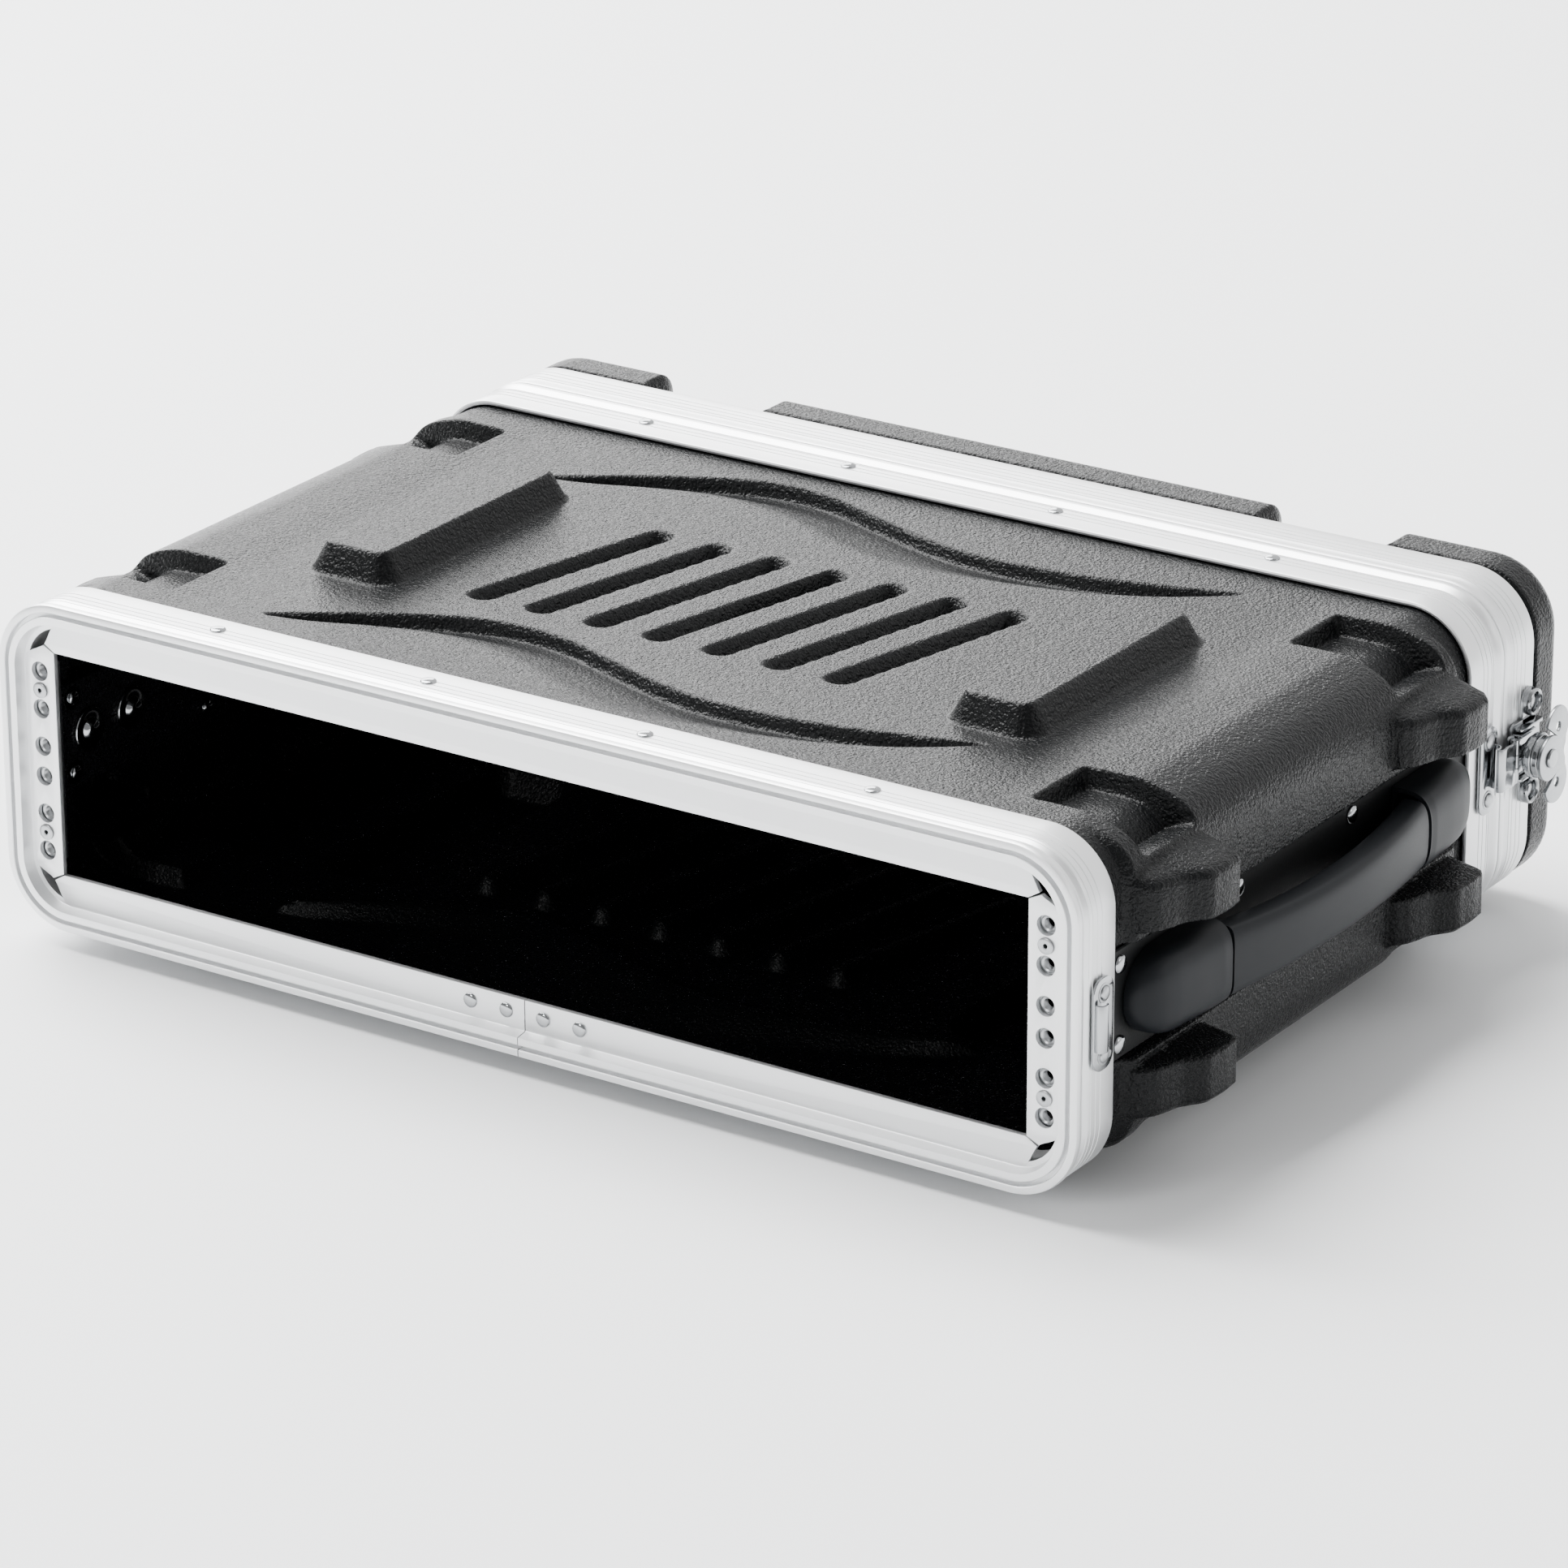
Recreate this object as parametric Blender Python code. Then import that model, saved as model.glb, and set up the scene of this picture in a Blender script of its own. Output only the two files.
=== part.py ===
"""Two-unit equipment rack case with a removable rear cover.

The case lies on its lower feet: +Z is up, the rack opening faces -Y and the rear cover is at +Y.
Every size below is in millimetres. The makers turn it into metres with MM. Positions are measured
from the middle of the rack opening, in the plane of the front flange, which is where the empty
case_centre stands; the empty puts the whole case on z = 0 with its bounding box centred in X and Y.
"""
import math

import bmesh
import bpy
from mathutils import Matrix, Vector

MM = 0.001

# Overall
HALF_WIDTH = 249.5
HALF_HEIGHT = 69.5
CORNER_RADIUS = 29.0
FRONT_LIP = 5.0
REAR_FLANGE = 311.0
CASE_BACK = 366.0
FEET_HEIGHT = 10.6
GAP = 0.3
CORNER_STEPS = 6

# Formed shells
WALL = 3.0
SHELL_INSET = 3.2
COVER_PROUD = 0.8
COVER_STEP = 342.2
COVER_ROUNDING = 10.0
SHELL_FRONT = 2.6
SHELL_REAR = 308.4
MIDDLE = 156.5
PAD_X = 150.0
PAD_TOP = (15.0, 58.5)
PAD_BASE = (20.5, 64.0)
PAD_TAPER = 0.6
PANEL_OUT = 251.0
PANEL_ENDS = (33.0, 276.0)
NOTCH_INNER = 198.5
NOTCH_LEDGE = 52.0
NOTCH_DEPTH = 10.0
NOTCH_FRONTS = (42.0, 231.0)
NOTCH_LENGTH = 39.0
BUMPER_LOW = 25.8
BUMPER_HIGH = 45.3
BUMPER_SHIFTS = (0.0, 190.0)
BUMPER_PLAN = (
    (32, 241), (36, 255.5), (43, 259.5), (52, 263.0), (57, 266.5), (62, 268),
    (76, 268), (81, 264), (82.5, 241),
)
BUMPER_SHOULDER = 250.0
WAVE_REAR = (
    (-150, 45.5), (-137, 56), (-120, 67), (-102, 77), (-86, 84), (-72, 87), (-55, 87.5), (-37, 85),
    (-12, 77),
    (11, 69), (35, 63), (55, 61), (75, 62.5), (100, 66), (128, 73), (154, 81.5),
)
WAVE_FRONT = (
    (-150, 43), (-134, 46.5), (-114, 53.5), (-94, 59.5), (-78, 61), (-57, 58), (-33, 50), (-11, 39),
    (10, 32.5), (30, 32), (50, 35), (78, 40), (105, 48), (133, 62), (154, 78),
)
WAVE_SHIFTS = (0.0, 190.0)
WAVE_DEPTH = 8.0
FLUTE_DEPTH = 7.0
FLUTE_COUNT = 7
FLUTE_PITCH = 28.0
FLUTE_WIDTH = 12.0
FLUTE_REACH = 46.0
FLUTE_LEAN = 10.0

# Joint strips and rack rails
STRIP_HALF = 22.0
STRIP_IN = 243.5
STRIP_OUT = 246.5
HOLE_X = 232.55
HOLE_ROWS = (6.35, 22.225, 38.1)
RAIL_RIVET_Z = 30.2
CLEARANCE_HOLE = 4.0
THREAD_HOLE = 2.6
WINDOW = (225.0, 47.3)
FLANGE = 2.2
RAIL = (226.6, 237.6, 42.0)
RAIL_THICKNESS = 3.0

# Keepers and latches
KEEPER_Z = 12.3
FRONT_KEEPER_Y = 10.5
REAR_KEEPER_Y = 302.0
LIP_TOP = 254.5
SPINDLE_Y = 327.5
CLAW_HINGE = (254.5, 317.2)
EYELET = (335.4, 18.8)
WING_FACE = 263.8

# Handles
GRIP_ENDS = (84.0, 229.0)
CAP_MOUTH = 82.5
CAP_HEIGHT = 17.0
STRAP_REACH = 60.0
BOLT_YS = (37.5, 64.5)


def material(name, colour, roughness, metallic=0.0):
    """A Principled material from an sRGB hex colour."""
    made = bpy.data.materials.new(name)
    made.use_nodes = True
    shader = made.node_tree.nodes["Principled BSDF"]
    channels = [int(colour[i : i + 2], 16) / 255 for i in (0, 2, 4)]
    linear = [c / 12.92 if c <= 0.04045 else ((c + 0.055) / 1.055) ** 2.4 for c in channels]
    shader.inputs["Base Color"].default_value = (*linear, 1)
    shader.inputs["Roughness"].default_value = roughness
    shader.inputs["Metallic"].default_value = metallic
    return made


def start_scene():
    """Clears the scene and returns the collections, the materials and the case's own origin."""
    for old in list(bpy.data.objects):
        bpy.data.objects.remove(old)
    scene = bpy.context.scene
    groups = {}
    for name in ("rack_case", "cutters"):
        groups[name] = bpy.data.collections.new(name)
        scene.collection.children.link(groups[name])
    centre = bpy.data.objects.new("case_centre", None)
    depth_middle = (CASE_BACK - FRONT_LIP) / 2
    feet = HALF_HEIGHT - SHELL_INSET + FEET_HEIGHT
    centre.location = Vector((0, -depth_middle, feet)) * MM
    groups["rack_case"].objects.link(centre)
    return groups, centre


GROUPS, CENTRE = start_scene()
MATERIALS = {
    "shell": material("textured_polyethylene", "3A3D40", 0.6),
    "strip": material("black_extrusion", "26282A", 0.5),
    "aluminium": material("satin_aluminium", "D9DBDC", 0.35, 0.9),
    "steel": material("bright_steel", "C8CACC", 0.2, 1.0),
    "grip": material("smooth_dark_plastic", "4A4D50", 0.4),
}


def keep(name, mesh, finish, origin=(0, 0, 0), parent=None):
    """Puts a mesh, in millimetres about its origin, in the scene as a part or, with no finish, a cutter."""
    mesh.transform(Matrix.Scale(MM, 4))
    obj = bpy.data.objects.new(name, mesh)
    obj.parent = parent or CENTRE
    obj.location = Vector(origin) * MM
    if finish:
        mesh.materials.append(MATERIALS[finish])
        GROUPS["rack_case"].objects.link(obj)
    else:
        GROUPS["cutters"].objects.link(obj)
        obj.hide_render = True
        obj.display_type = "WIRE"
    return obj


def finished(shape, name):
    """Turns a bmesh into a mesh with its faces pointing out."""
    bmesh.ops.remove_doubles(shape, verts=shape.verts, dist=0.0005)
    bmesh.ops.recalc_face_normals(shape, faces=shape.faces)
    mesh = bpy.data.meshes.new(name)
    shape.to_mesh(mesh)
    shape.free()
    return mesh


def box_mesh(low, high):
    """A box between two corners."""
    shape = bmesh.new()
    bmesh.ops.create_cube(shape, size=1)
    size = Vector(high) - Vector(low)
    middle = (Vector(high) + Vector(low)) / 2
    bmesh.ops.scale(shape, vec=size, verts=shape.verts)
    bmesh.ops.translate(shape, vec=middle, verts=shape.verts)
    return finished(shape, "box")


def rod_mesh(start, end, radius, end_radius=None, segments=10):
    """A round rod or cone between two points."""
    start = Vector(start)
    along = Vector(end) - start
    shape = bmesh.new()
    bmesh.ops.create_cone(
        shape,
        cap_ends=True,
        segments=segments,
        radius1=radius,
        radius2=radius if end_radius is None else end_radius,
        depth=along.length,
    )
    turn = Vector((0, 0, 1)).rotation_difference(along).to_matrix().to_4x4()
    bmesh.ops.transform(shape, matrix=Matrix.Translation(start + along / 2) @ turn, verts=shape.verts)
    return finished(shape, "rod")


def prism_mesh(outlines, low, high, axis):
    """Flat outlines, the later ones being holes, drawn from low to high along an axis.

    The outline's pairs are (x, y) for axis Z, (y, z) for axis X and (x, z) for axis Y.
    """
    curve = bpy.data.curves.new("outline", "CURVE")
    curve.dimensions = "2D"
    curve.fill_mode = "BOTH"
    curve.extrude = (high - low) / 2
    for outline in outlines:
        spline = curve.splines.new("POLY")
        spline.points.add(len(outline) - 1)
        for point, (u, v) in zip(spline.points, outline):
            point.co = (u, v, 0, 1)
        spline.use_cyclic_u = True
    holder = bpy.data.objects.new("outline", curve)
    bpy.context.scene.collection.objects.link(holder)
    bpy.context.view_layer.update()
    flat = holder.evaluated_get(bpy.context.evaluated_depsgraph_get())
    mesh = bpy.data.meshes.new_from_object(flat)
    bpy.data.objects.remove(holder)
    shape = bmesh.new()
    shape.from_mesh(mesh)
    columns = {
        "X": ((0, 1, 0), (0, 0, 1), (1, 0, 0)),
        "Y": ((1, 0, 0), (0, 0, 1), (0, 1, 0)),
        "Z": ((1, 0, 0), (0, 1, 0), (0, 0, 1)),
    }
    turn = Matrix(columns[axis]).transposed().to_4x4()
    bmesh.ops.translate(shape, vec=(0, 0, (low + high) / 2), verts=shape.verts)
    bmesh.ops.transform(shape, matrix=turn, verts=shape.verts)
    return finished(shape, "prism")


def arc(centre, radius, start, end, steps):
    """Points along an arc, in degrees."""
    turns = [math.radians(start + (end - start) * i / steps) for i in range(steps + 1)]
    return [(centre[0] + radius * math.cos(t), centre[1] + radius * math.sin(t)) for t in turns]


def rounded_rect(half_width, half_height, radius, steps=CORNER_STEPS, middle=(0, 0)):
    """A rounded rectangle, going round from its right side."""
    points = []
    corners = ((1, 1), (-1, 1), (-1, -1), (1, -1))
    for turn, (right, up) in enumerate(corners):
        corner = (middle[0] + right * (half_width - radius), middle[1] + up * (half_height - radius))
        points += arc(corner, radius, 90 * turn, 90 * turn + 90, steps)
    return points


def loft_mesh(rings, joined=False):
    """Skins rings of equally many points. The ends are capped, or joined to each other."""
    shape = bmesh.new()
    rows = [[shape.verts.new(point) for point in ring] for ring in rings]
    pairs = list(zip(rows, rows[1:]))
    if joined:
        pairs.append((rows[-1], rows[0]))
    else:
        shape.faces.new(rows[0])
        shape.faces.new(rows[-1])
    for row, following in pairs:
        count = len(row)
        for i in range(count):
            j = (i + 1) % count
            shape.faces.new((row[i], row[j], following[j], following[i]))
    return finished(shape, "loft")


def case_ring(inset, y):
    """The case's outline at a distance inside its largest one, at a depth y."""
    outline = rounded_rect(HALF_WIDTH - inset, HALF_HEIGHT - inset, CORNER_RADIUS - inset)
    return [(x, y, z) for x, z in outline]


def boolean(obj, cutter, operation):
    """Adds a Boolean, and puts its cutter away as a guide."""
    modifier = obj.modifiers.new(cutter.name, "BOOLEAN")
    modifier.operation = operation
    modifier.object = cutter


def cut(obj, *meshes):
    for number, mesh in enumerate(meshes):
        boolean(obj, keep(f"{obj.name}_cut_{number}_{len(obj.modifiers)}", mesh, None), "DIFFERENCE")


def join(obj, *meshes):
    for number, mesh in enumerate(meshes):
        boolean(obj, keep(f"{obj.name}_add_{number}_{len(obj.modifiers)}", mesh, None), "UNION")


def across(points, side):
    """Mirrors an XY outline to the left side of the case when side is -1."""
    return [(side * x, y) for x, y in points]


def along_case(points, front):
    """Mirrors an XY outline about the middle of the case for its rear copy."""
    return [(x, y if front else 2 * MIDDLE - y) for x, y in points]


# ---------------------------------------------------------------- formed shells


def wave_outline(shift, swell):
    """A lens-shaped wave across the panel; swell widens it by the wall."""
    rear = [(x, y + shift + swell) for x, y in WAVE_REAR]
    front = [(x, y + shift - swell) for x, y in WAVE_FRONT]
    return rear + front[::-1]


def flute_outline(index, swell):
    """One slanted slot with round ends."""
    middle = (index - (FLUTE_COUNT - 1) / 2) * FLUTE_PITCH
    radius = FLUTE_WIDTH / 2 + swell
    far = (middle + FLUTE_LEAN, MIDDLE - 3 + FLUTE_REACH)
    near = (middle - FLUTE_LEAN, MIDDLE - 3 - FLUTE_REACH)
    lean = math.degrees(math.atan2(2 * FLUTE_REACH, 2 * FLUTE_LEAN))
    return arc(far, radius, lean - 90, lean + 90, 4) + arc(near, radius, lean + 90, lean + 270, 4)


def pad_mesh(x, side, swell):
    """A drafted foot: four rings from its foot inside the wall to its chamfered top."""
    surface = HALF_HEIGHT - SHELL_INSET
    levels = (
        (surface - 6, PAD_BASE, 0.0),
        (surface, PAD_BASE, 0.0),
        (surface + FEET_HEIGHT - 1.5, PAD_TOP, 1.5),
        (surface + FEET_HEIGHT, PAD_TOP, 0.0),
    )
    rings = []
    for z, (half_x, half_y), extra in levels:
        outline = rounded_rect(half_x + extra - swell * PAD_TAPER, half_y + extra - swell * PAD_TAPER, 4, 2)
        height = z - swell if z > surface else z - 2 * swell
        rings.append([(x + u, MIDDLE + v, side * height) for u, v in outline])
    return loft_mesh(rings)


def shell_solid(name, side, inner):
    """The solid form of one body half at its outer skin or, when inner, at its inner skin."""
    swell = WALL if inner else 0.0
    reach = 10 if inner else 0
    surface = HALF_HEIGHT - SHELL_INSET
    rings = [case_ring(SHELL_INSET + swell, y) for y in (SHELL_FRONT - reach, SHELL_REAR + reach)]
    solid = keep(name, loft_mesh(rings), None)
    for x in (-PAD_X, PAD_X):
        join(solid, pad_mesh(x, side, swell))
    for right in (-1, 1):
        panel = [
            (right * 230, side * STRIP_HALF),
            (right * (PANEL_OUT - swell), side * STRIP_HALF),
            (right * (PANEL_OUT - swell), side * 40),
            (right * 235, side * 60),
            (right * 230, side * 60),
        ]
        join(solid, prism_mesh([panel], PANEL_ENDS[0] + swell, PANEL_ENDS[1] - swell, "Y"))
    add_bumpers(solid, side, swell)
    cut_notches(solid, side, swell)
    waves = [wave_outline(shift, swell) for shift in WAVE_SHIFTS]
    flutes = [flute_outline(index, swell) for index in range(FLUTE_COUNT)]
    for outline, depth in [(w, WAVE_DEPTH) for w in waves] + [(f, FLUTE_DEPTH) for f in flutes]:
        floor = surface - depth - swell
        low, high = sorted((side * floor, side * (surface + 5)))
        cut(solid, prism_mesh([outline], low, high, "Z"))
    for right in (-1, 1):
        recess = STRIP_IN - GAP - swell
        low, high = sorted((right * recess, right * 262))
        half = STRIP_HALF + GAP + swell
        cut(solid, box_mesh((low, -20, -half), (high, 330, half)))
    return solid


def add_bumpers(solid, side, swell):
    """Blunt lugs beside the handle, their shoulders sloping in to the foot of the channels."""
    for right in (-1, 1):
        for shift in BUMPER_SHIFTS:
            plan = [(x - swell * (x > 250), y + shift) for y, x in BUMPER_PLAN]
            shoulder = [(min(x, BUMPER_SHOULDER - swell), y) for x, y in plan]
            levels = (
                (BUMPER_LOW + swell, plan),
                (BUMPER_HIGH - swell, plan),
                (NOTCH_LEDGE - 0.6 - swell, shoulder),
            )
            join(solid, loft_mesh([[(right * x, y, side * z) for x, y in line] for z, line in levels]))


def cut_notches(solid, side, swell):
    """Channels that run over the upper edge and down to the bumpers."""
    depth = SHELL_INSET + NOTCH_DEPTH + swell
    for right in (-1, 1):
        for number, front in enumerate(NOTCH_FRONTS):
            low_x, high_x = sorted((right * (NOTCH_INNER - swell), right * 262))
            low_z, high_z = sorted((side * (NOTCH_LEDGE - swell), side * 80))
            channel = keep(
                f"{solid.name}_channel_{right + 1}_{number}",
                box_mesh((low_x, front - swell, low_z), (high_x, front + NOTCH_LENGTH + swell, high_z)),
                None,
            )
            cut(channel, loft_mesh([case_ring(depth, y) for y in (front - 20, front + NOTCH_LENGTH + 20)]))
            boolean(solid, channel, "DIFFERENCE")


def body_shell(name, side):
    """One formed half: its outer form less its inner form, kept on its own side of the joint."""
    outer = shell_solid(f"{name}_outer_form", side, False)
    inner = shell_solid(f"{name}_inner_form", side, True)
    low, high = sorted((side * GAP, side * 90))
    shell = keep(name, box_mesh((-280, -30, low), (280, 340, high)), "shell")
    boolean(shell, outer, "INTERSECT")
    boolean(shell, inner, "DIFFERENCE")
    bolt_holes = [
        rod_mesh((right * 236, y, 0), (right * 250, y, 0), 3.2)
        for right in (-1, 1)
        for y in BOLT_YS + tuple(2 * MIDDLE - b for b in BOLT_YS)
    ]
    cut(shell, *bolt_holes)


def joint_strip(name, side):
    low, high = sorted((side * STRIP_IN, side * STRIP_OUT))
    flat = box_mesh((low, SHELL_FRONT, -STRIP_HALF), (high, SHELL_REAR, STRIP_HALF))
    strip = keep(name, flat, "strip")
    holes = [
        rod_mesh((side * 240, y, 0), (side * 250, y, 0), 3.2)
        for y in BOLT_YS + tuple(2 * MIDDLE - b for b in BOLT_YS)
    ]
    cut(strip, *holes)


# ---------------------------------------------------------------- valances and rails

# Inset from the case's largest outline and distance behind the flange's face, in millimetres.
FRAME_PROFILE = (
    (8.2, -5), (5.2, -5), (5.2, -2), (3.4, -2), (3.4, -5), (1.2, -5), (0, -3.8), (0, -2), (1.6, 0.6),
    (1.6, 2.2), (0.5, 4), (0.5, 20.9), (1.3, 21.7), (2.7, 21.7), (2.7, 2.2), (9.6, 2.2), (9.6, 12),
    (11.4, 12), (11.4, 0), (9.2, 0),
)
COVER_PROFILE = (
    (8.2, 316.3), (4.8, 316.3), (4.8, 313.7), (3.8, 313.7), (3.8, 316.3), (1.2, 316.3), (0, 317.5),
    (0, 320), (0.9, 322), (0.3, 325), (0.3, 340.2), (1.1, 341), (2.7, 341), (2.7, 326), (6.7, 326),
    (6.7, 336), (8.2, 336),
)


def leg_holes(y, zs):
    """Holes for side rivets through both outer legs of a valance."""
    return [
        rod_mesh((side * 243.0, y, z), (side * 252, y, z), 2.1, segments=6)
        for side in (-1, 1)
        for z in zs
    ]


def rack_frame(name, front):
    """A valance with its mitred flange: the front one as drawn, the rear one mirrored."""
    def depth(y):
        return y if front else REAR_FLANGE - y

    band = loft_mesh([case_ring(inset, depth(y)) for inset, y in FRAME_PROFILE], joined=True)
    frame = keep(name, band, "aluminium")
    outline = rounded_rect(HALF_WIDTH - 10.5, HALF_HEIGHT - 10.5, CORNER_RADIUS - 10.5)
    half_x, half_z = WINDOW
    opening = [(half_x, half_z), (-half_x, half_z), (-half_x, -half_z), (half_x, -half_z)]
    low, high = sorted((depth(0), depth(FLANGE)))
    join(frame, prism_mesh([outline, opening], low, high, "Y"))
    low, high = sorted((depth(-6), depth(13)))
    corner = (HALF_WIDTH - CORNER_RADIUS, HALF_HEIGHT - CORNER_RADIUS)
    for right in (-1, 1):
        for up in (-1, 1):
            cut(frame, mitre_mesh(corner, right, up, low, high), crescent_mesh(corner, right, up, low, high))
            for z in HOLE_ROWS:
                start = (right * HOLE_X, depth(-1), up * z)
                end = (right * HOLE_X, depth(4), up * z)
                cut(frame, rod_mesh(start, end, CLEARANCE_HOLE))
            if front:
                rivet = (right * HOLE_X, up * RAIL_RIVET_Z)
                cut(frame, rod_mesh((rivet[0], -1, rivet[1]), (rivet[0], 4, rivet[1]), 2.1, segments=6))
    keeper_y = FRONT_KEEPER_Y if front else REAR_KEEPER_Y
    cut(frame, *leg_holes(keeper_y, (-KEEPER_Z, KEEPER_Z)))
    low, high = sorted((depth(-7), depth(24)))
    cut(frame, box_mesh((-0.2, low, -72), (0.2, high, -44)))


def mitre_mesh(corner, right, up, low, high):
    """The slit at 45 degrees between two lengths of the flange."""
    start = Vector((right * (WINDOW[0] - 1), up * (WINDOW[1] - 1)))
    end = Vector((right * (corner[0] + 11.5), up * (corner[1] + 13)))
    side = (end - start).orthogonal().normalized() * 0.4
    outline = [tuple(start - side), tuple(end - side), tuple(end + side), tuple(start + side)]
    return prism_mesh([outline], low, high, "Y")


def crescent_mesh(corner, right, up, low, high):
    """The notch that lets the flange's corner be bent round."""
    steps = 8
    outer = []
    inner = []
    for i in range(steps + 1):
        turn = math.radians(14 + 62 * i / steps)
        bulge = 5.2 * math.sin(math.pi * i / steps)
        for radius, row in ((19.0, outer), (18.6 - bulge, inner)):
            u = corner[0] + radius * math.cos(turn)
            v = corner[1] + radius * math.sin(turn)
            row.append((right * u, up * v))
    return prism_mesh([outer + inner[::-1]], low, high, "Y")


def rack_rail(name, side):
    low, high = sorted((side * RAIL[0], side * RAIL[1]))
    back = FLANGE + GAP + RAIL_THICKNESS
    rail = keep(name, box_mesh((low, FLANGE + GAP, -RAIL[2]), (high, back, RAIL[2])), "steel")
    for up in (-1, 1):
        for z in HOLE_ROWS:
            cut(rail, rod_mesh((side * HOLE_X, 0, up * z), (side * HOLE_X, 9, up * z), THREAD_HOLE))
        z = up * RAIL_RIVET_Z
        cut(rail, rod_mesh((side * HOLE_X, 0, z), (side * HOLE_X, 9, z), 2.1, segments=6))
        label = "upper" if up > 0 else "lower"
        head = rod_mesh((0, -0.9, 0), (0, -GAP, 0), 3.2)
        rivet = keep(f"{name}_rivet_{label}", head, "steel", (side * HOLE_X, 0, z))
        join_local(rivet, rod_mesh((0, -0.6, 0), (0, back + 0.4, 0), 1.7, segments=6))


def join_local(obj, mesh):
    """Joins a mesh drawn about the object's own origin."""
    piece = keep(f"{obj.name}_add_{len(obj.modifiers)}", mesh, None)
    piece.location = obj.location
    piece.parent = obj.parent
    boolean(obj, piece, "UNION")


def splice_plate(name, y):
    keep(name, box_mesh((-34, y, -57.6), (34, y + 2, -48.8)), "aluminium")


# ---------------------------------------------------------------- rear cover


def cover_solid(name, swell):
    """The cover's form: it steps out behind the valance, its back is rounded, two channels cross it."""
    inset = SHELL_INSET + swell
    proud = COVER_PROUD + swell
    start = 326.4 - (10 if swell else 0)
    edge = CASE_BACK - COVER_ROUNDING
    rings = [case_ring(inset, start), case_ring(inset, COVER_STEP), case_ring(proud, COVER_STEP + 2.2)]
    bend = COVER_ROUNDING - swell
    for i in range(4):
        turn = math.radians(30 * i)
        rings.append(case_ring(proud + bend * (1 - math.cos(turn)), edge + bend * math.sin(turn)))
    solid = keep(name, loft_mesh(rings), None)
    for x in (-PAD_X, PAD_X):
        half = 29 + swell
        block = box_mesh((x - half, COVER_STEP - swell, -80), (x + half, 380, 80))
        channel = keep(f"{name}_channel_{x:.0f}", block, None)
        floors = ((7, 330), (7, 350 - swell), (15, CASE_BACK - 7 - swell))
        cut(channel, loft_mesh([case_ring(inset + deeper, y) for deeper, y in floors]))
        boolean(solid, channel, "DIFFERENCE")
    return solid


def cover():
    band = loft_mesh([case_ring(inset, y) for inset, y in COVER_PROFILE], joined=True)
    valance = keep("cover_valance", band, "aluminium")
    eye_y, eye_z = EYELET
    cut(valance, box_mesh((-0.2, 310, -72), (0.2, 345, -58)), *leg_holes(eye_y, (-eye_z, eye_z)))
    shell = keep("cover_shell", box_mesh((-280, 300, -90), (280, 400, 90)), "shell")
    boolean(shell, cover_solid("cover_outer_form", 0.0), "INTERSECT")
    boolean(shell, cover_solid("cover_inner_form", WALL), "DIFFERENCE")


# ---------------------------------------------------------------- keepers and latches


def tab_outline(y, half_y, half_z, radius):
    return rounded_rect(half_y, half_z, radius, 3, (y, 0))


def mushroom(name, side, base, y, z, head):
    """A dome-headed rivet that enters the valance's leg from outside."""
    dome = rod_mesh((side * base, 0, 0), (side * (base + 1.5), 0, 0), head, head * 0.6)
    rivet = keep(name, dome, "steel", (0, y, z))
    join_local(rivet, rod_mesh((side * 247.0, 0, 0), (side * (base + 0.5), 0, 0), 1.7, segments=6))


def keeper(name, side, y, toward):
    """A riveted plate whose middle curls up to a lip. toward is the way that the lip leans."""
    low, high = sorted((side * 249.8, side * 251.0))
    plate = keep(name, prism_mesh([tab_outline(y, 6.8, 18.3, 5)], low, high, "X"), "steel")
    ridge = y - toward * 6.0
    curl = [
        (250.5, ridge + toward * 2.2),
        (252.3, ridge + toward * 2.4),
        (252.9, ridge + toward * 3.4),
        (254.2, ridge + toward * 3.2),
        (LIP_TOP, ridge + toward * 1.6),
        (253.6, ridge + toward * 0.2),
        (250.5, ridge - toward * 0.4),
    ]
    join(plate, prism_mesh([across(curl, side)], -9.4, 9.4, "Z"))
    for label, z in (("upper", KEEPER_Z), ("lower", -KEEPER_Z)):
        cut(plate, rod_mesh((side * 248, y, z), (side * 253, y, z), 2.1, segments=6))
        mushroom(f"{name}_rivet_{label}", side, 251.3, y, z, 3.1)


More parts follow.
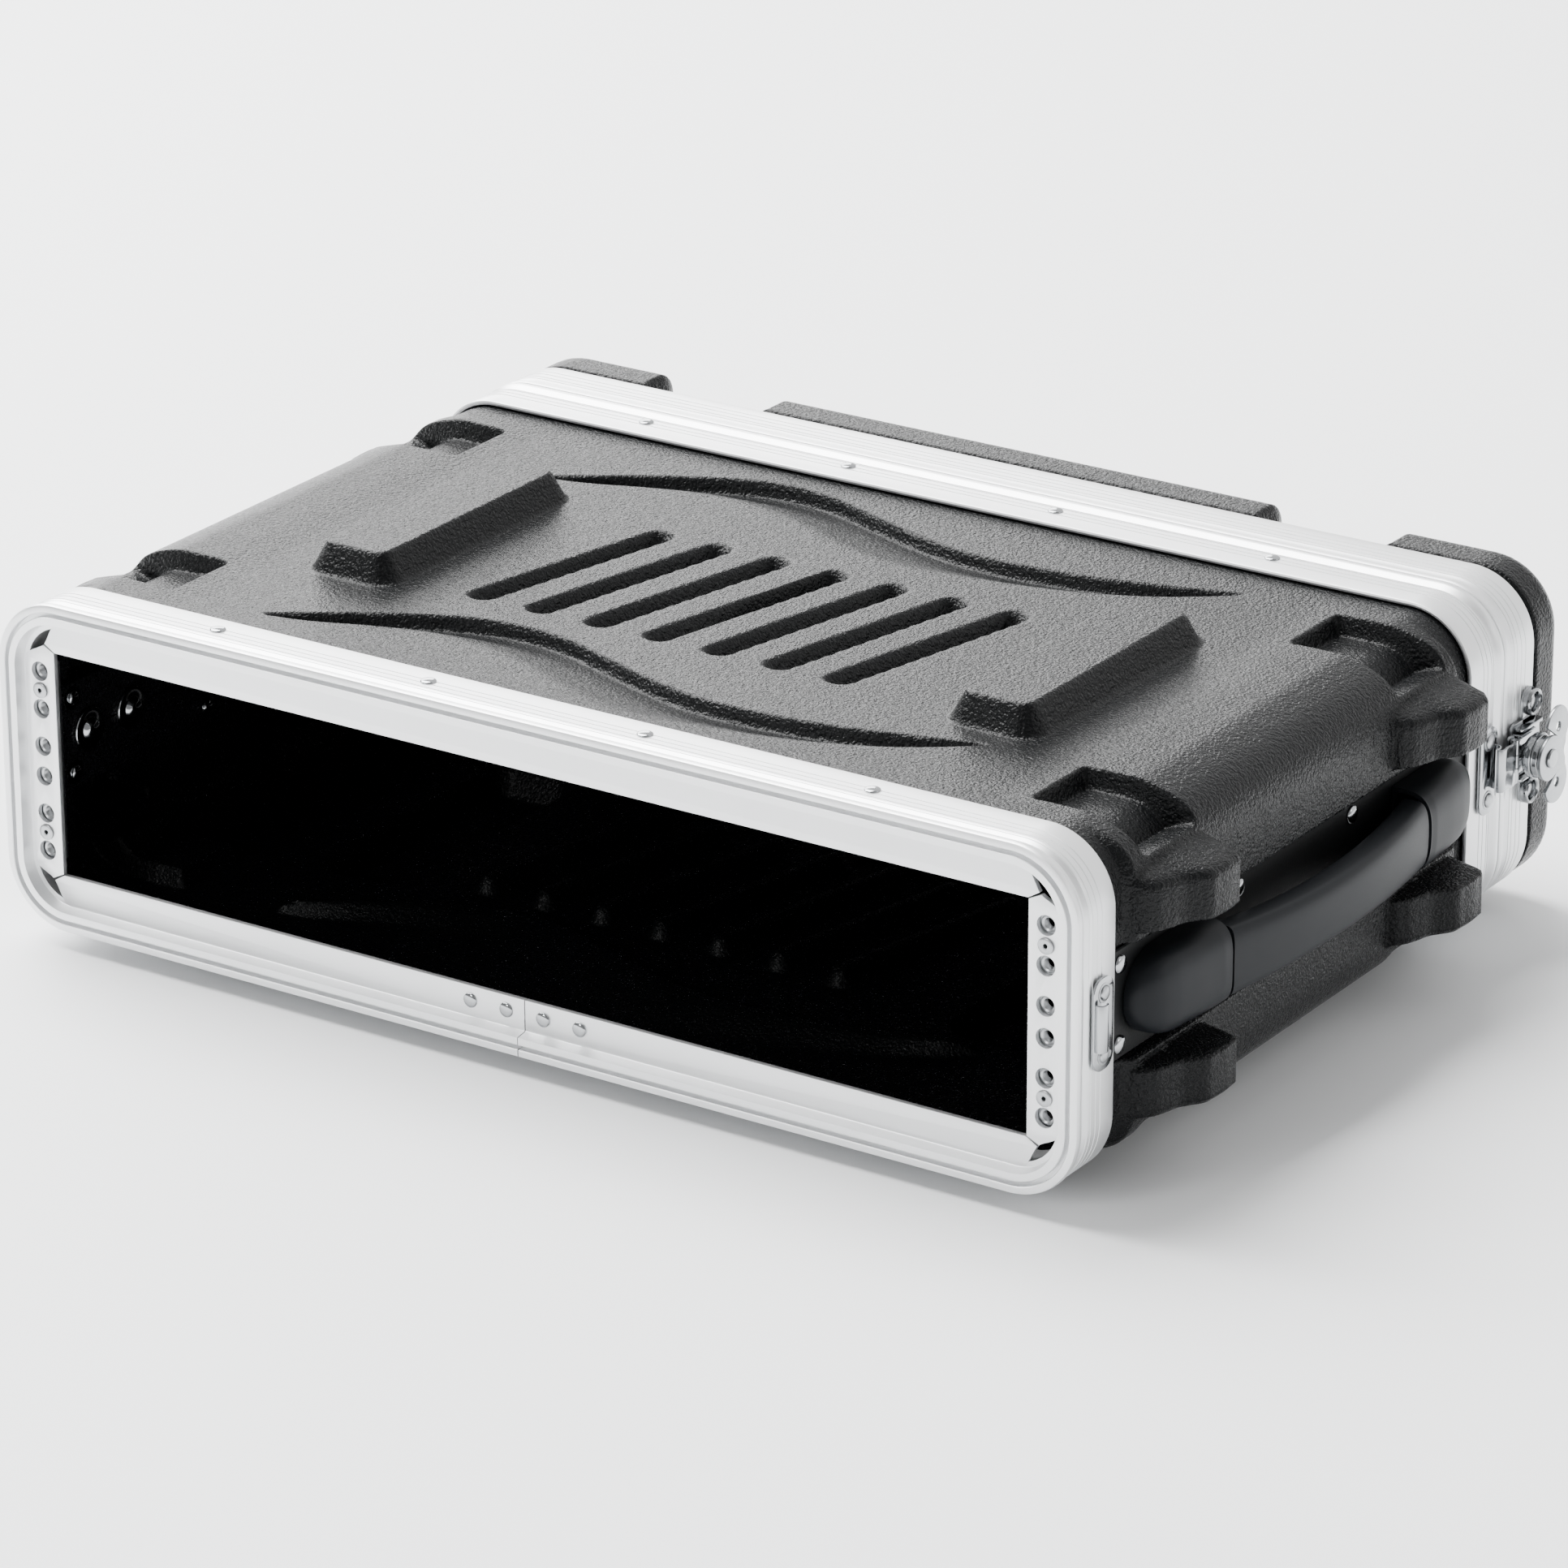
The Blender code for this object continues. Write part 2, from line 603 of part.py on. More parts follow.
def latch(label, side):
    """Base plate, slide, claw, spindle and wing of one butterfly latch."""
    def span(near, far):
        return sorted((side * near, side * far))

    eye_y, eye_z = EYELET
    plate = prism_mesh([rounded_rect(9.8, 12.4, 2, 2, (331.2, 0))], *span(249.6, 250.8), "X")
    base = keep(f"latch_base_{label}", plate, "steel")
    join(base, prism_mesh([tab_outline(eye_y, 5.7, 24.6, 5.6)], *span(249.6, 250.8), "X"))
    for z in (-eye_z, eye_z):
        ring = [rounded_rect(5.7, 5.7, 5.69, 4, (eye_y, z)), rounded_rect(3.9, 3.9, 3.89, 4, (eye_y, z))]
        join(base, prism_mesh(ring, *span(250.5, 254.2), "X"))
    for z in (-10.6, 10.6):
        low, high = span(250.5, 254.8)
        join(base, box_mesh((low, 322.5, z - 0.6), (high, 340.5, z + 0.6)))
    for where, z in (("upper", eye_z), ("lower", -eye_z)):
        cut(base, rod_mesh((side * 248, eye_y, z), (side * 252, eye_y, z), 2.1, segments=6))
        mushroom(f"latch_rivet_{label}_{where}", side, 251.1, eye_y, z, 3.2)

    hinge = Vector((side * CLAW_HINGE[0], CLAW_HINGE[1], 0))
    slot = [rounded_rect(9.0, 3.1, 3.05, 4, (SPINDLE_Y + 2.5, 0))]
    low, high = span(251.2, 252.4)
    slide = keep(f"latch_slide_{label}", box_mesh((low, 316.2, -9.4), (high, 341.5, 9.4)), "steel")
    cut(slide, prism_mesh(slot, *span(250, 255), "X"))
    low, high = span(252.2, 255.4)
    join(slide, box_mesh((low, 320, 8.2), (high, 334, 9.4)))
    low, high = span(252.2, CLAW_HINGE[0])
    join(slide, box_mesh((low, 316.2, -2.6), (high, 318.4, 2.6)))
    join(slide, rod_mesh((hinge.x, hinge.y, -2.6), (hinge.x, hinge.y, 2.6), 1.7))

    claw = keep(f"latch_claw_{label}", rod_mesh((0, 0, 3.0), (0, 0, 9.0), 1.7), "steel", hinge)
    join_local(claw, rod_mesh((0, 0, -9.0), (0, 0, -3.0), 1.7))
    hook = [
        (0.4, -1.9), (0.4, -12.4), (-0.6, -12.5), (-0.6, -13.8),
        (0.6, -14.3), (1.7, -13.4), (1.9, -2.2), (1.4, -1.0),
    ]
    join_local(claw, prism_mesh([across(hook, side)], -9.0, 9.0, "Z"))
    for z in (-6.0, 6.0):
        arm = [(-0.6, -0.6), (-0.2, -3.0), (1.8, -3.0), (1.6, 0.4)]
        join_local(claw, prism_mesh([across(arm, side)], z - 3.0, z + 3.0, "Z"))

    axis = (0, SPINDLE_Y, 0)
    pin = rod_mesh((side * 251.2, 0, 0), (side * 265.8, 0, 0), 2.5)
    spindle = keep(f"latch_spindle_{label}", pin, "steel", axis)
    join_local(spindle, rod_mesh((side * 256.6, 0, 0), (side * (WING_FACE - GAP), 0, 0), 9.4, segments=20))
    join_local(spindle, rod_mesh((side * 265.6, 0, 0), (side * 266.6, 0, 0), 3.6, 3.0))
    flat = prism_mesh([wing_outline()], *span(WING_FACE, WING_FACE + 1.5), "X")
    wing = keep(f"latch_wing_{label}", flat, "steel", axis)
    holes = [rod_mesh((side * 260, y, z), (side * 270, y, z), 2.0) for y, z in ((5.5, -11.8), (5.5, 11.8))]
    for mesh in holes + [rod_mesh((side * 260, 0, 0), (side * 270, 0, 0), 2.9)]:
        cutter = keep(f"{wing.name}_cut_{len(wing.modifiers)}", mesh, None, axis)
        boolean(wing, cutter, "DIFFERENCE")


def wing_outline():
    """A butterfly: a round middle on the spindle and two lobes behind it, about the spindle's axis."""
    upper = arc((0, 0), 9.2, 180, 62, 6) + arc((5.2, 11.6), 8.9, 168, -38, 10) + [(11.4, 2.5)]
    return upper + [(y, -z) for y, z in upper[-1:0:-1]]


# ---------------------------------------------------------------- handles


def bowed(low, high, ends, middle, steps=10):
    """Points on an arc bowed outward: x at both ends and in the middle, from low to high in y."""
    half = (high - low) / 2
    rise = middle - ends
    radius = (half * half + rise * rise) / (2 * rise)
    points = []
    for i in range(steps + 1):
        y = low + (high - low) * i / steps
        offset = y - (low + high) / 2
        points.append((middle - radius + math.sqrt(radius * radius - offset * offset), y))
    return points


def padded_mesh(outer, inner, side, half_height, round_over):
    """A bar between two XY lines, its outer face rounded over at the top and the bottom."""
    rings = []
    for turn in (90, 55, 20, 0):
        back = round_over * (1 - math.cos(math.radians(turn)))
        height = half_height - round_over * (1 - math.sin(math.radians(turn)))
        rings.append((height, back))
    rings += [(-height, back) for height, back in reversed(rings)]
    skins = []
    for height, back in rings:
        line = [(max(x - back, x_inner + 0.2), y) for (x, y), (x_inner, _) in zip(outer, inner)]
        skins.append([(side * x, y, height) for x, y in line + inner[::-1]])
    return loft_mesh(skins)


def handle(label, side):
    """Grip and strap, which pull out together, the two caps and the bolts that hold them."""
    outer = bowed(*GRIP_ENDS, 263.5, 271.0)
    inner = bowed(*GRIP_ENDS, 250.9, 258.5)
    strap_ends = (STRAP_REACH, 2 * MIDDLE - STRAP_REACH)
    slot_ends = (STRAP_REACH - 1, 2 * MIDDLE - STRAP_REACH + 1)
    strap_low = bowed(*strap_ends, 249.7, 263.9, 16)
    strap_high = bowed(*strap_ends, 251.3, 265.5, 16)
    slot_low = bowed(*slot_ends, 249.1, 263.5, 16)
    slot_high = bowed(*slot_ends, 251.4, 265.9, 16)
    grip = keep(f"handle_grip_{label}", padded_mesh(outer, inner, side, 13.0, 3.0), "grip")
    cut(grip, prism_mesh([across(slot_high + slot_low[::-1], side)], -9.9, 9.9, "Z"))
    band = prism_mesh([across(strap_high + strap_low[::-1], side)], -9.5, 9.5, "Z")
    strap = keep(f"handle_strap_{label}", band, "steel")
    for y in (BOLT_YS[1], 2 * MIDDLE - BOLT_YS[1]):
        cut(strap, rod_mesh((side * 240, y, 0), (side * 262, y, 0), 4.0))
    for where, front in (("front", True), ("rear", False)):
        handle_cap(f"handle_cap_{label}_{where}", side, front)
        for number, y in enumerate(BOLT_YS):
            along = y if front else 2 * MIDDLE - y
            washer = rod_mesh((side * 239.7, 0, 0), (side * 238.7, 0, 0), 9.0, segments=12)
            bolt = keep(f"handle_bolt_{label}_{where}_{number + 1}", washer, "steel", (0, along, 0))
            join_local(bolt, rod_mesh((side * 239.0, 0, 0), (side * 236.4, 0, 0), 4.4, 2.6))
            end = 249.6 if number else 253.0
            join_local(bolt, rod_mesh((side * 239.0, 0, 0), (side * end, 0, 0), 2.4))


def handle_cap(name, side, front):
    outer = [(247.2, 31), (252.5, 33), (257.5, 39), (260.5, 49), (262.2, 62), (263.6, 74)]
    outer.append((264.0, CAP_MOUTH))
    base = [(246.9, y) for _, y in outer]
    pocket = [(248.3, 58), (258.6, 58), (261.8, 72), (262.2, 90), (248.3, 90)]
    body = padded_mesh(along_case(outer, front), along_case(base, front), side, CAP_HEIGHT, 3.2)
    cap = keep(name, body, "grip")
    cut(cap, prism_mesh([across(along_case(pocket, front), side)], -11, 11, "Z"))
    for y in BOLT_YS:
        along = y if front else 2 * MIDDLE - y
        cut(cap, rod_mesh((side * 244, along, 0), (side * 254.5, along, 0), 3.0))


def build():
    body_shell("shell_top", 1)
    body_shell("shell_bottom", -1)
    rack_frame("front_valance", True)
    rack_frame("rear_valance", False)
    splice_plate("front_splice_plate", FLANGE + GAP)
    splice_plate("rear_splice_plate", REAR_FLANGE - FLANGE - GAP - 2)
    cover()
    for label, side in (("right", 1), ("left", -1)):
        joint_strip(f"side_strip_{label}", side)
        rack_rail(f"rack_rail_{label}", side)
        keeper(f"front_keeper_{label}", side, FRONT_KEEPER_Y, 1)
        keeper(f"rear_keeper_{label}", side, REAR_KEEPER_Y, -1)
        latch(label, side)
        handle(label, side)


build()
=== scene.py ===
"""Looks of a two-unit equipment rack case: formed polyethylene shells in aluminium frames.

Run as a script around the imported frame. Shapes are drawn in millimetres in the case's own
coordinates: x from its middle, y behind the front flange's face, z above the middle of its opening.
"""

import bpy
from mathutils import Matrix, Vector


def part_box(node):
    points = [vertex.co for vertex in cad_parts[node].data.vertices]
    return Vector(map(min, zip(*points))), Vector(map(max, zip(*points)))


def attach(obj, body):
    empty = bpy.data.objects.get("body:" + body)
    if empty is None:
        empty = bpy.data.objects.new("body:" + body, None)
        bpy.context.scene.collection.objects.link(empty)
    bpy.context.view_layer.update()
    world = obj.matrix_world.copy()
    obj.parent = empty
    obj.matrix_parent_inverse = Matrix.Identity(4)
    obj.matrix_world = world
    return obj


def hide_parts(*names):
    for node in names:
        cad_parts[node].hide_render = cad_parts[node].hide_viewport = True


bl_info = {
    "name": "Rack case looks",
    "version": (1, 0, 0),
    "blender": (4, 5, 0),
    "location": "View3D > Sidebar > Rack case",
    "description": "Builds the shells, frames, latches and handles of a rack case on its CAD frame",
    "category": "Object",
}

import math

import bmesh
import bpy
import numpy as np
from mathutils import Matrix, Vector

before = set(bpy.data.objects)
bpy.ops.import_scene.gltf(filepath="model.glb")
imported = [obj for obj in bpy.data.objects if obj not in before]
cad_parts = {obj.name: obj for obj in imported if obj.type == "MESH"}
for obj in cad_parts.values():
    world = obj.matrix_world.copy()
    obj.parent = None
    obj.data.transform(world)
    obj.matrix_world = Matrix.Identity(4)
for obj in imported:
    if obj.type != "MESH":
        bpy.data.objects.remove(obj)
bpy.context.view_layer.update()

MM = 0.001
FRONT_LIP = 5.0
FRAME_LOW, FRAME_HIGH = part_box("front_valance")
ORIGIN = np.array([0.0, FRAME_LOW.y / MM + FRONT_LIP, (FRAME_LOW.z + FRAME_HIGH.z) / 2 / MM])
HALF_WIDTH = (FRAME_HIGH.x - FRAME_LOW.x) / 2 / MM
HALF_HEIGHT = (FRAME_HIGH.z - FRAME_LOW.z) / 2 / MM
CASE_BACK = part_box("cover_shell")[1].y / MM - ORIGIN[1]
SHELL_INSET = 3.2
FEET_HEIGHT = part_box("shell_top")[1].z / MM - ORIGIN[2] - HALF_HEIGHT + SHELL_INSET

CORNER_RADIUS = 29.0
COVER_STEP = 342.2
COVER_PROUD = 2.4
COVER_ROUNDING = 10.0
SHELL_SPAN = (2.6, 308.4)
REAR_FLANGE = 311.0
FLANGE_THICKNESS = 2.2
MIDDLE = 156.5
STRIP_HALF = 22.0
STRIP_SPAN = (243.5, 246.5)
PAD_X = 150.0
HOLE_X = 232.55
HOLE_ROWS = (6.35, 22.225, 38.1)
RAIL_RIVET_Z = 30.2
WINDOW = (225.0, 47.3)
VALANCE_RIVETS = (-151.0, -50.0, 50.0, 151.0)
BOLT_YS = (37.5, 64.5)
KEEPER_Z = 12.3
FRONT_KEEPER_Y = 10.5
REAR_KEEPER_Y = 302.0
SPINDLE_Y = 327.5
CLAW_HINGE = (254.5, 317.2)
EYELET = (335.4, 18.8)
WING_FACE = 263.8
GRIP_ENDS = (84.0, 229.0)


def linear(code):
    """An sRGB hex colour as linear red, green and blue."""
    channels = [int(code[i : i + 2], 16) / 255 for i in (0, 2, 4)]
    return tuple(c / 12.92 if c <= 0.04045 else ((c + 0.055) / 1.055) ** 2.4 for c in channels)


def colour_property(name, code, words):
    return bpy.props.FloatVectorProperty(
        name=name, description=words, subtype="COLOR", size=3, min=0, max=1, default=linear(code)
    )


def length_property(name, default, words, largest=50.0):
    """A length, given here in millimetres."""
    return bpy.props.FloatProperty(
        name=name,
        description=words,
        default=default * MM,
        min=0.0,
        max=largest * MM,
        subtype="DISTANCE",
        unit="LENGTH",
    )


class CaseShapes(bpy.types.PropertyGroup):
    """Sizes that give the shells and the fittings their character."""

    groove_depth: length_property("Groove depth", 7.5, "Depth of the waves and flutes")
    notch_depth: length_property("Notch depth", 8.0, "Depth of the channels over the corners")
    side_bulge: length_property("Side bulge", 4.5, "How far the side panels stand out")
    wall: length_property("Wall", 3.0, "Thickness of the formed sheet", 8.0)
    grid: length_property("Grid", 1.7, "Spacing of the shells' surface points", 10.0)
    sag: length_property("Sag", 1.3, "How much lower the panels' middle lies than their edges")
    flutes: bpy.props.IntProperty(
        name="Flutes", description="Slanted slots in each panel", default=7, min=0, max=12
    )


def shape_size(name):
    """One of the lengths above, in millimetres."""
    return getattr(bpy.context.scene.case_shapes, name) / MM


class CaseColours(bpy.types.PropertyGroup):
    """Colours of the case's materials."""

    shell: colour_property("Shell", "0D0E0F", "Formed polyethylene")
    strip: colour_property("Strip", "0C0D0E", "Joint strips at the sides")
    aluminium: colour_property("Aluminium", "E8E9EA", "Anodised extrusions")
    steel: colour_property("Steel", "A9ABAD", "Nickel plated fittings")
    handle: colour_property("Handle", "15171A", "Moulded grips and caps")
    floor: colour_property("Floor", "F4F5F6", "Studio floor")


# ---------------------------------------------------------------- materials


def add_node(tree, kind, inputs=None, **settings):
    """Adds a node, sets it, and links or fills its inputs."""
    made = tree.nodes.new(kind)
    for name, value in settings.items():
        setattr(made, name, value)
    for socket, value in (inputs or {}).items():
        if isinstance(value, bpy.types.NodeSocket):
            tree.links.new(value, made.inputs[socket])
        else:
            made.inputs[socket].default_value = value
    return made


def start_material(name):
    """A new material with its tree, its shader and its object coordinates."""
    made = bpy.data.materials.new(name)
    made.use_nodes = True
    tree = made.node_tree
    shader = tree.nodes["Principled BSDF"]
    place = add_node(tree, "ShaderNodeTexCoord").outputs["Object"]
    return made, tree, shader, place


def feature_scale(size):
    """Texture scale that gives features of a size in millimetres."""
    return 1 / (size * MM)


def formed_polyethylene():
    """High-density polyethylene sheet, vacuum formed over a grained mould.

    The grain gives the eye a finely pebbled black with a soft gloss. At 1.7 and 1.0 mm it is drawn
    coarser than such a mould's, because a finer one would not show.
    """
    made, tree, shader, place = start_material("formed_polyethylene")
    base = bpy.context.scene.case_colours.shell
    pebbles = add_node(
        tree, "ShaderNodeTexNoise", {"Vector": place, "Scale": feature_scale(1.7), "Detail": 1.0}
    )
    fine = add_node(
        tree, "ShaderNodeTexNoise", {"Vector": place, "Scale": feature_scale(1.0), "Detail": 2.0}
    )
    height = add_node(
        tree, "ShaderNodeMath", {0: pebbles.outputs["Fac"], 1: fine.outputs["Fac"]}, operation="ADD"
    )
    bump = add_node(
        tree, "ShaderNodeBump", {"Height": height.outputs[0], "Strength": 1.0, "Distance": 0.5 * MM}
    )
    rough = add_node(
        tree,
        "ShaderNodeMapRange",
        {"Value": fine.outputs["Fac"], "From Min": 0.3, "From Max": 0.7, "To Min": 0.15, "To Max": 0.38},
    )
    tree.links.new(rough.outputs[0], shader.inputs["Roughness"])
    tree.links.new(bump.outputs[0], shader.inputs["Normal"])
    shader.inputs["Base Color"].default_value = (*base, 1)
    shader.inputs["IOR"].default_value = 1.52
    shader.inputs["Specular IOR Level"].default_value = 0.13
    return made


def satin_strip():
    """Black extruded strip: a satin skin with a faint grain, drawn at 0.9 mm so that it shows."""
    made, tree, shader, place = start_material("satin_black_strip")
    base = bpy.context.scene.case_colours.strip
    fine = add_node(
        tree, "ShaderNodeTexNoise", {"Vector": place, "Scale": feature_scale(0.9), "Detail": 2.0}
    )
    bump = add_node(
        tree, "ShaderNodeBump", {"Height": fine.outputs["Fac"], "Strength": 0.35, "Distance": 0.15 * MM}
    )
    rough = add_node(
        tree, "ShaderNodeMapRange", {"Value": fine.outputs["Fac"], "To Min": 0.38, "To Max": 0.5}
    )
    shader.inputs["Base Color"].default_value = (*base, 1)
    tree.links.new(rough.outputs[0], shader.inputs["Roughness"])
    shader.inputs["Specular IOR Level"].default_value = 0.2
    tree.links.new(bump.outputs[0], shader.inputs["Normal"])
    return made


def anodised_aluminium():
    """Aluminium extrusion, clear anodised: pale satin with faint die lines.

    The lines are drawn 0.45 mm apart, coarser than a die's, so that they show.
    """
    made, tree, shader, place = start_material("anodised_aluminium")
    base = bpy.context.scene.case_colours.aluminium
    stretch = add_node(
        tree, "ShaderNodeMapping", {"Vector": place, "Scale": (30.0, feature_scale(0.45), 30.0)}
    )
    lines = add_node(tree, "ShaderNodeTexNoise", {"Vector": stretch.outputs[0], "Scale": 1.0, "Detail": 3.0})
    cloud = add_node(
        tree, "ShaderNodeTexNoise", {"Vector": place, "Scale": feature_scale(35), "Detail": 3.0}
    )
    bump = add_node(
        tree, "ShaderNodeBump", {"Height": lines.outputs["Fac"], "Strength": 0.12, "Distance": 0.04 * MM}
    )
    rough = add_node(
        tree, "ShaderNodeMapRange", {"Value": cloud.outputs["Fac"], "To Min": 0.36, "To Max": 0.46}
    )
    tree.links.new(rough.outputs[0], shader.inputs["Roughness"])
    tree.links.new(bump.outputs[0], shader.inputs["Normal"])
    shader.inputs["Base Color"].default_value = (*base, 1)
    shader.inputs["Metallic"].default_value = 0.85
    return made


def plated_steel(name, roughness):
    """Pressed steel under nickel: a bright mirror-like skin softened by the pressing's fine ripple."""
    made, tree, shader, place = start_material(name)
    base = bpy.context.scene.case_colours.steel
    ripple = add_node(
        tree, "ShaderNodeTexNoise", {"Vector": place, "Scale": feature_scale(2.2), "Detail": 2.0}
    )
    bump = add_node(
        tree, "ShaderNodeBump", {"Height": ripple.outputs["Fac"], "Strength": 0.2, "Distance": 0.05 * MM}
    )
    rough = add_node(
        tree,
        "ShaderNodeMapRange",
        {"Value": ripple.outputs["Fac"], "To Min": roughness * 0.8, "To Max": roughness * 1.3},
    )
    tree.links.new(rough.outputs[0], shader.inputs["Roughness"])
    tree.links.new(bump.outputs[0], shader.inputs["Normal"])
    shader.inputs["Base Color"].default_value = (*base, 1)
    shader.inputs["Metallic"].default_value = 1.0
    return made


def moulded_handle():
    """Thermoplastic elastomer, injection moulded against a fine spark finish: smooth dark satin.

    The spark grain is drawn at 0.5 mm, coarser than real, so that it shows.
    """
    made, tree, shader, place = start_material("moulded_elastomer")
    base = bpy.context.scene.case_colours.handle
    spark = add_node(
        tree, "ShaderNodeTexNoise", {"Vector": place, "Scale": feature_scale(0.5), "Detail": 2.0}
    )
    bump = add_node(
        tree, "ShaderNodeBump", {"Height": spark.outputs["Fac"], "Strength": 0.15, "Distance": 0.05 * MM}
    )
    rough = add_node(
        tree, "ShaderNodeMapRange", {"Value": spark.outputs["Fac"], "To Min": 0.40, "To Max": 0.48}
    )
    shader.inputs["Base Color"].default_value = (*base, 1)
    tree.links.new(rough.outputs[0], shader.inputs["Roughness"])
    shader.inputs["Specular IOR Level"].default_value = 0.15
    tree.links.new(bump.outputs[0], shader.inputs["Normal"])
    return made


def painted_floor():
    """Matt white painted studio floor."""
    made, _, shader, _ = start_material("painted_floor")
    shader.inputs["Base Color"].default_value = (*bpy.context.scene.case_colours.floor, 1)
    shader.inputs["Roughness"].default_value = 0.85
    return made


FINISH_MAKERS = {
    "formed_shell": formed_polyethylene,
    "joint_strip": satin_strip,
    "aluminium": anodised_aluminium,
    "bright_steel": lambda: plated_steel("nickel_plated_steel", 0.13),
    "rail_steel": lambda: plated_steel("zinc_plated_steel", 0.3),
    "handle_plastic": moulded_handle,
}
finishes = {}


def finish(slot):
    if slot not in finishes:
        finishes[slot] = FINISH_MAKERS[slot]()
    return finishes[slot]


# ---------------------------------------------------------------- making meshes


def mesh_of(points, faces):
    """A mesh from points in the case's coordinates."""
    mesh = bpy.data.meshes.new("shape")
    placed = (np.asarray(points, float) + ORIGIN) * MM
    mesh.from_pydata([tuple(p) for p in placed], [], faces)
    return mesh


def tidied(mesh, merge=0.002):
    """The mesh with doubled points merged and its faces turned out."""
    shape = bmesh.new()
    shape.from_mesh(mesh)
    bmesh.ops.remove_doubles(shape, verts=shape.verts, dist=merge * MM)
    bmesh.ops.recalc_face_normals(shape, faces=shape.faces)
    shape.to_mesh(mesh)
    shape.free()
    return mesh


def add_piece(name, mesh, body, slot, replaced=(), angle=30, cuts=()):
    """Puts a mesh in the scene: cut, shaded, finished, riding on its body."""
    tidied(mesh)
    obj = bpy.data.objects.new(name, mesh)
    bpy.context.scene.collection.objects.link(obj)
    cutters = [bpy.data.objects.new(f"{name}_cutter", tidied(cutter)) for cutter in cuts]
    for cutter in cutters:
        bpy.context.scene.collection.objects.link(cutter)
        boolean = obj.modifiers.new("cut", "BOOLEAN")
        boolean.operation = "DIFFERENCE"
        boolean.object = cutter
    if obj.modifiers:
        bpy.context.view_layer.update()
        evaluated = obj.evaluated_get(bpy.context.evaluated_depsgraph_get())
        settled = bpy.data.meshes.new_from_object(evaluated)
        obj.modifiers.clear()
        obj.data = settled
    for cutter in cutters:
        bpy.data.objects.remove(cutter)
    obj.data.shade_smooth()
    obj.data.set_sharp_from_angle(angle=math.radians(angle))
    obj.data.materials.clear()
    obj.data.materials.append(finish(slot))
    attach(obj, body)
    if replaced:
        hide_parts(*replaced)
    return obj


def merged(meshes):
    """Several meshes as one."""
    shape = bmesh.new()
    for mesh in meshes:
        shape.from_mesh(mesh)
    joined = bpy.data.meshes.new("joined")
    shape.to_mesh(joined)
    shape.free()
    return joined


def skin(rows, closed=False):
    """Faces between looped rows of equally many points: closed joins the last row to the first."""
    count = len(rows[0])
    points = [p for row in rows for p in row]
    faces = []
    spans = len(rows) if closed else len(rows) - 1
    for r in range(spans):
        a = r * count
        b = ((r + 1) % len(rows)) * count
        for i in range(count):
            j = (i + 1) % count
            faces.append((a + i, a + j, b + j, b + i))
    if not closed:
        faces.append(tuple(range(count - 1, -1, -1)))
        last = (len(rows) - 1) * count
        faces.append(tuple(range(last, last + count)))
    return mesh_of(points, faces)


def arc(centre, radius, start, end, steps):
    """Points along an arc, in degrees."""
    turns = [math.radians(start + (end - start) * i / steps) for i in range(steps + 1)]
    return [(centre[0] + radius * math.cos(t), centre[1] + radius * math.sin(t)) for t in turns]


def circle(u, v, radius, steps):
    return arc((u, v), radius, 0, 360 - 360 / steps, steps - 1)


def rounded_rect(half_u, half_v, radius, steps=8, middle=(0, 0)):
    """A rectangle's outline with round corners."""
    points = []
    for turn, (right, up) in enumerate(((1, 1), (-1, 1), (-1, -1), (1, -1))):
        corner = (middle[0] + right * (half_u - radius), middle[1] + up * (half_v - radius))
        points += arc(corner, radius, 90 * turn, 90 * turn + 90, steps)
    return points


def flat_plate(outlines, low, high, axis, edge=0.15):
    """Flat outlines with holes, drawn from low to high along an axis with softened edges."""
    curve = bpy.data.curves.new("outline", "CURVE")
    curve.dimensions = "2D"
    curve.fill_mode = "BOTH"
    curve.extrude = (high - low) / 2 - edge
    curve.bevel_depth = edge
    curve.bevel_resolution = 1
    curve.offset = -edge
    for outline in outlines:
        spline = curve.splines.new("POLY")
        spline.points.add(len(outline) - 1)
        for point, (u, v) in zip(spline.points, outline):
            point.co = (u, v, 0, 1)
        spline.use_cyclic_u = True
    holder = bpy.data.objects.new("outline", curve)
    bpy.context.scene.collection.objects.link(holder)
    bpy.context.view_layer.update()
    mesh = bpy.data.meshes.new_from_object(holder.evaluated_get(bpy.context.evaluated_depsgraph_get()))
    bpy.data.objects.remove(holder)
    bpy.data.curves.remove(curve)
    ways = {
        "X": ((0, 1, 0), (0, 0, 1), (1, 0, 0)),
        "Y": ((1, 0, 0), (0, 0, 1), (0, 1, 0)),
        "Z": ((1, 0, 0), (0, 1, 0), (0, 0, 1)),
    }
    turn = Matrix(ways[axis]).transposed().to_4x4()
    lift = Matrix.Translation((0, 0, (low + high) / 2))
    mesh.transform(Matrix.Translation(ORIGIN * MM) @ Matrix.Scale(MM, 4) @ turn @ lift)
    return mesh


def turned(profile, start, direction, steps=28):
    """A turned shape: radius and height pairs about an axis from a point."""
    start = Vector(start)
    turn = Vector((0, 0, 1)).rotation_difference(Vector(direction)).to_matrix()
    rows = []
    for radius, height in profile:
        ring = []
        for i in range(steps):
            a = 2 * math.pi * i / steps
            ring.append(tuple(start + turn @ Vector((radius * math.cos(a), radius * math.sin(a), height))))
        rows.append(ring)
    return skin(rows)


def block(low, high):
    """A plain box, used only inside cuts and joins."""
    xs, ys, zs = zip(low, high)
    corners = ((xs[0], ys[0]), (xs[1], ys[0]), (xs[1], ys[1]), (xs[0], ys[1]))
    return skin([[(x, y, z) for x, y in corners] for z in zs])


def rod(start, end, radius):
    start = Vector(start)
    way = Vector(end) - start
    return turned([(radius, 0), (radius, way.length)], start, way, 24)


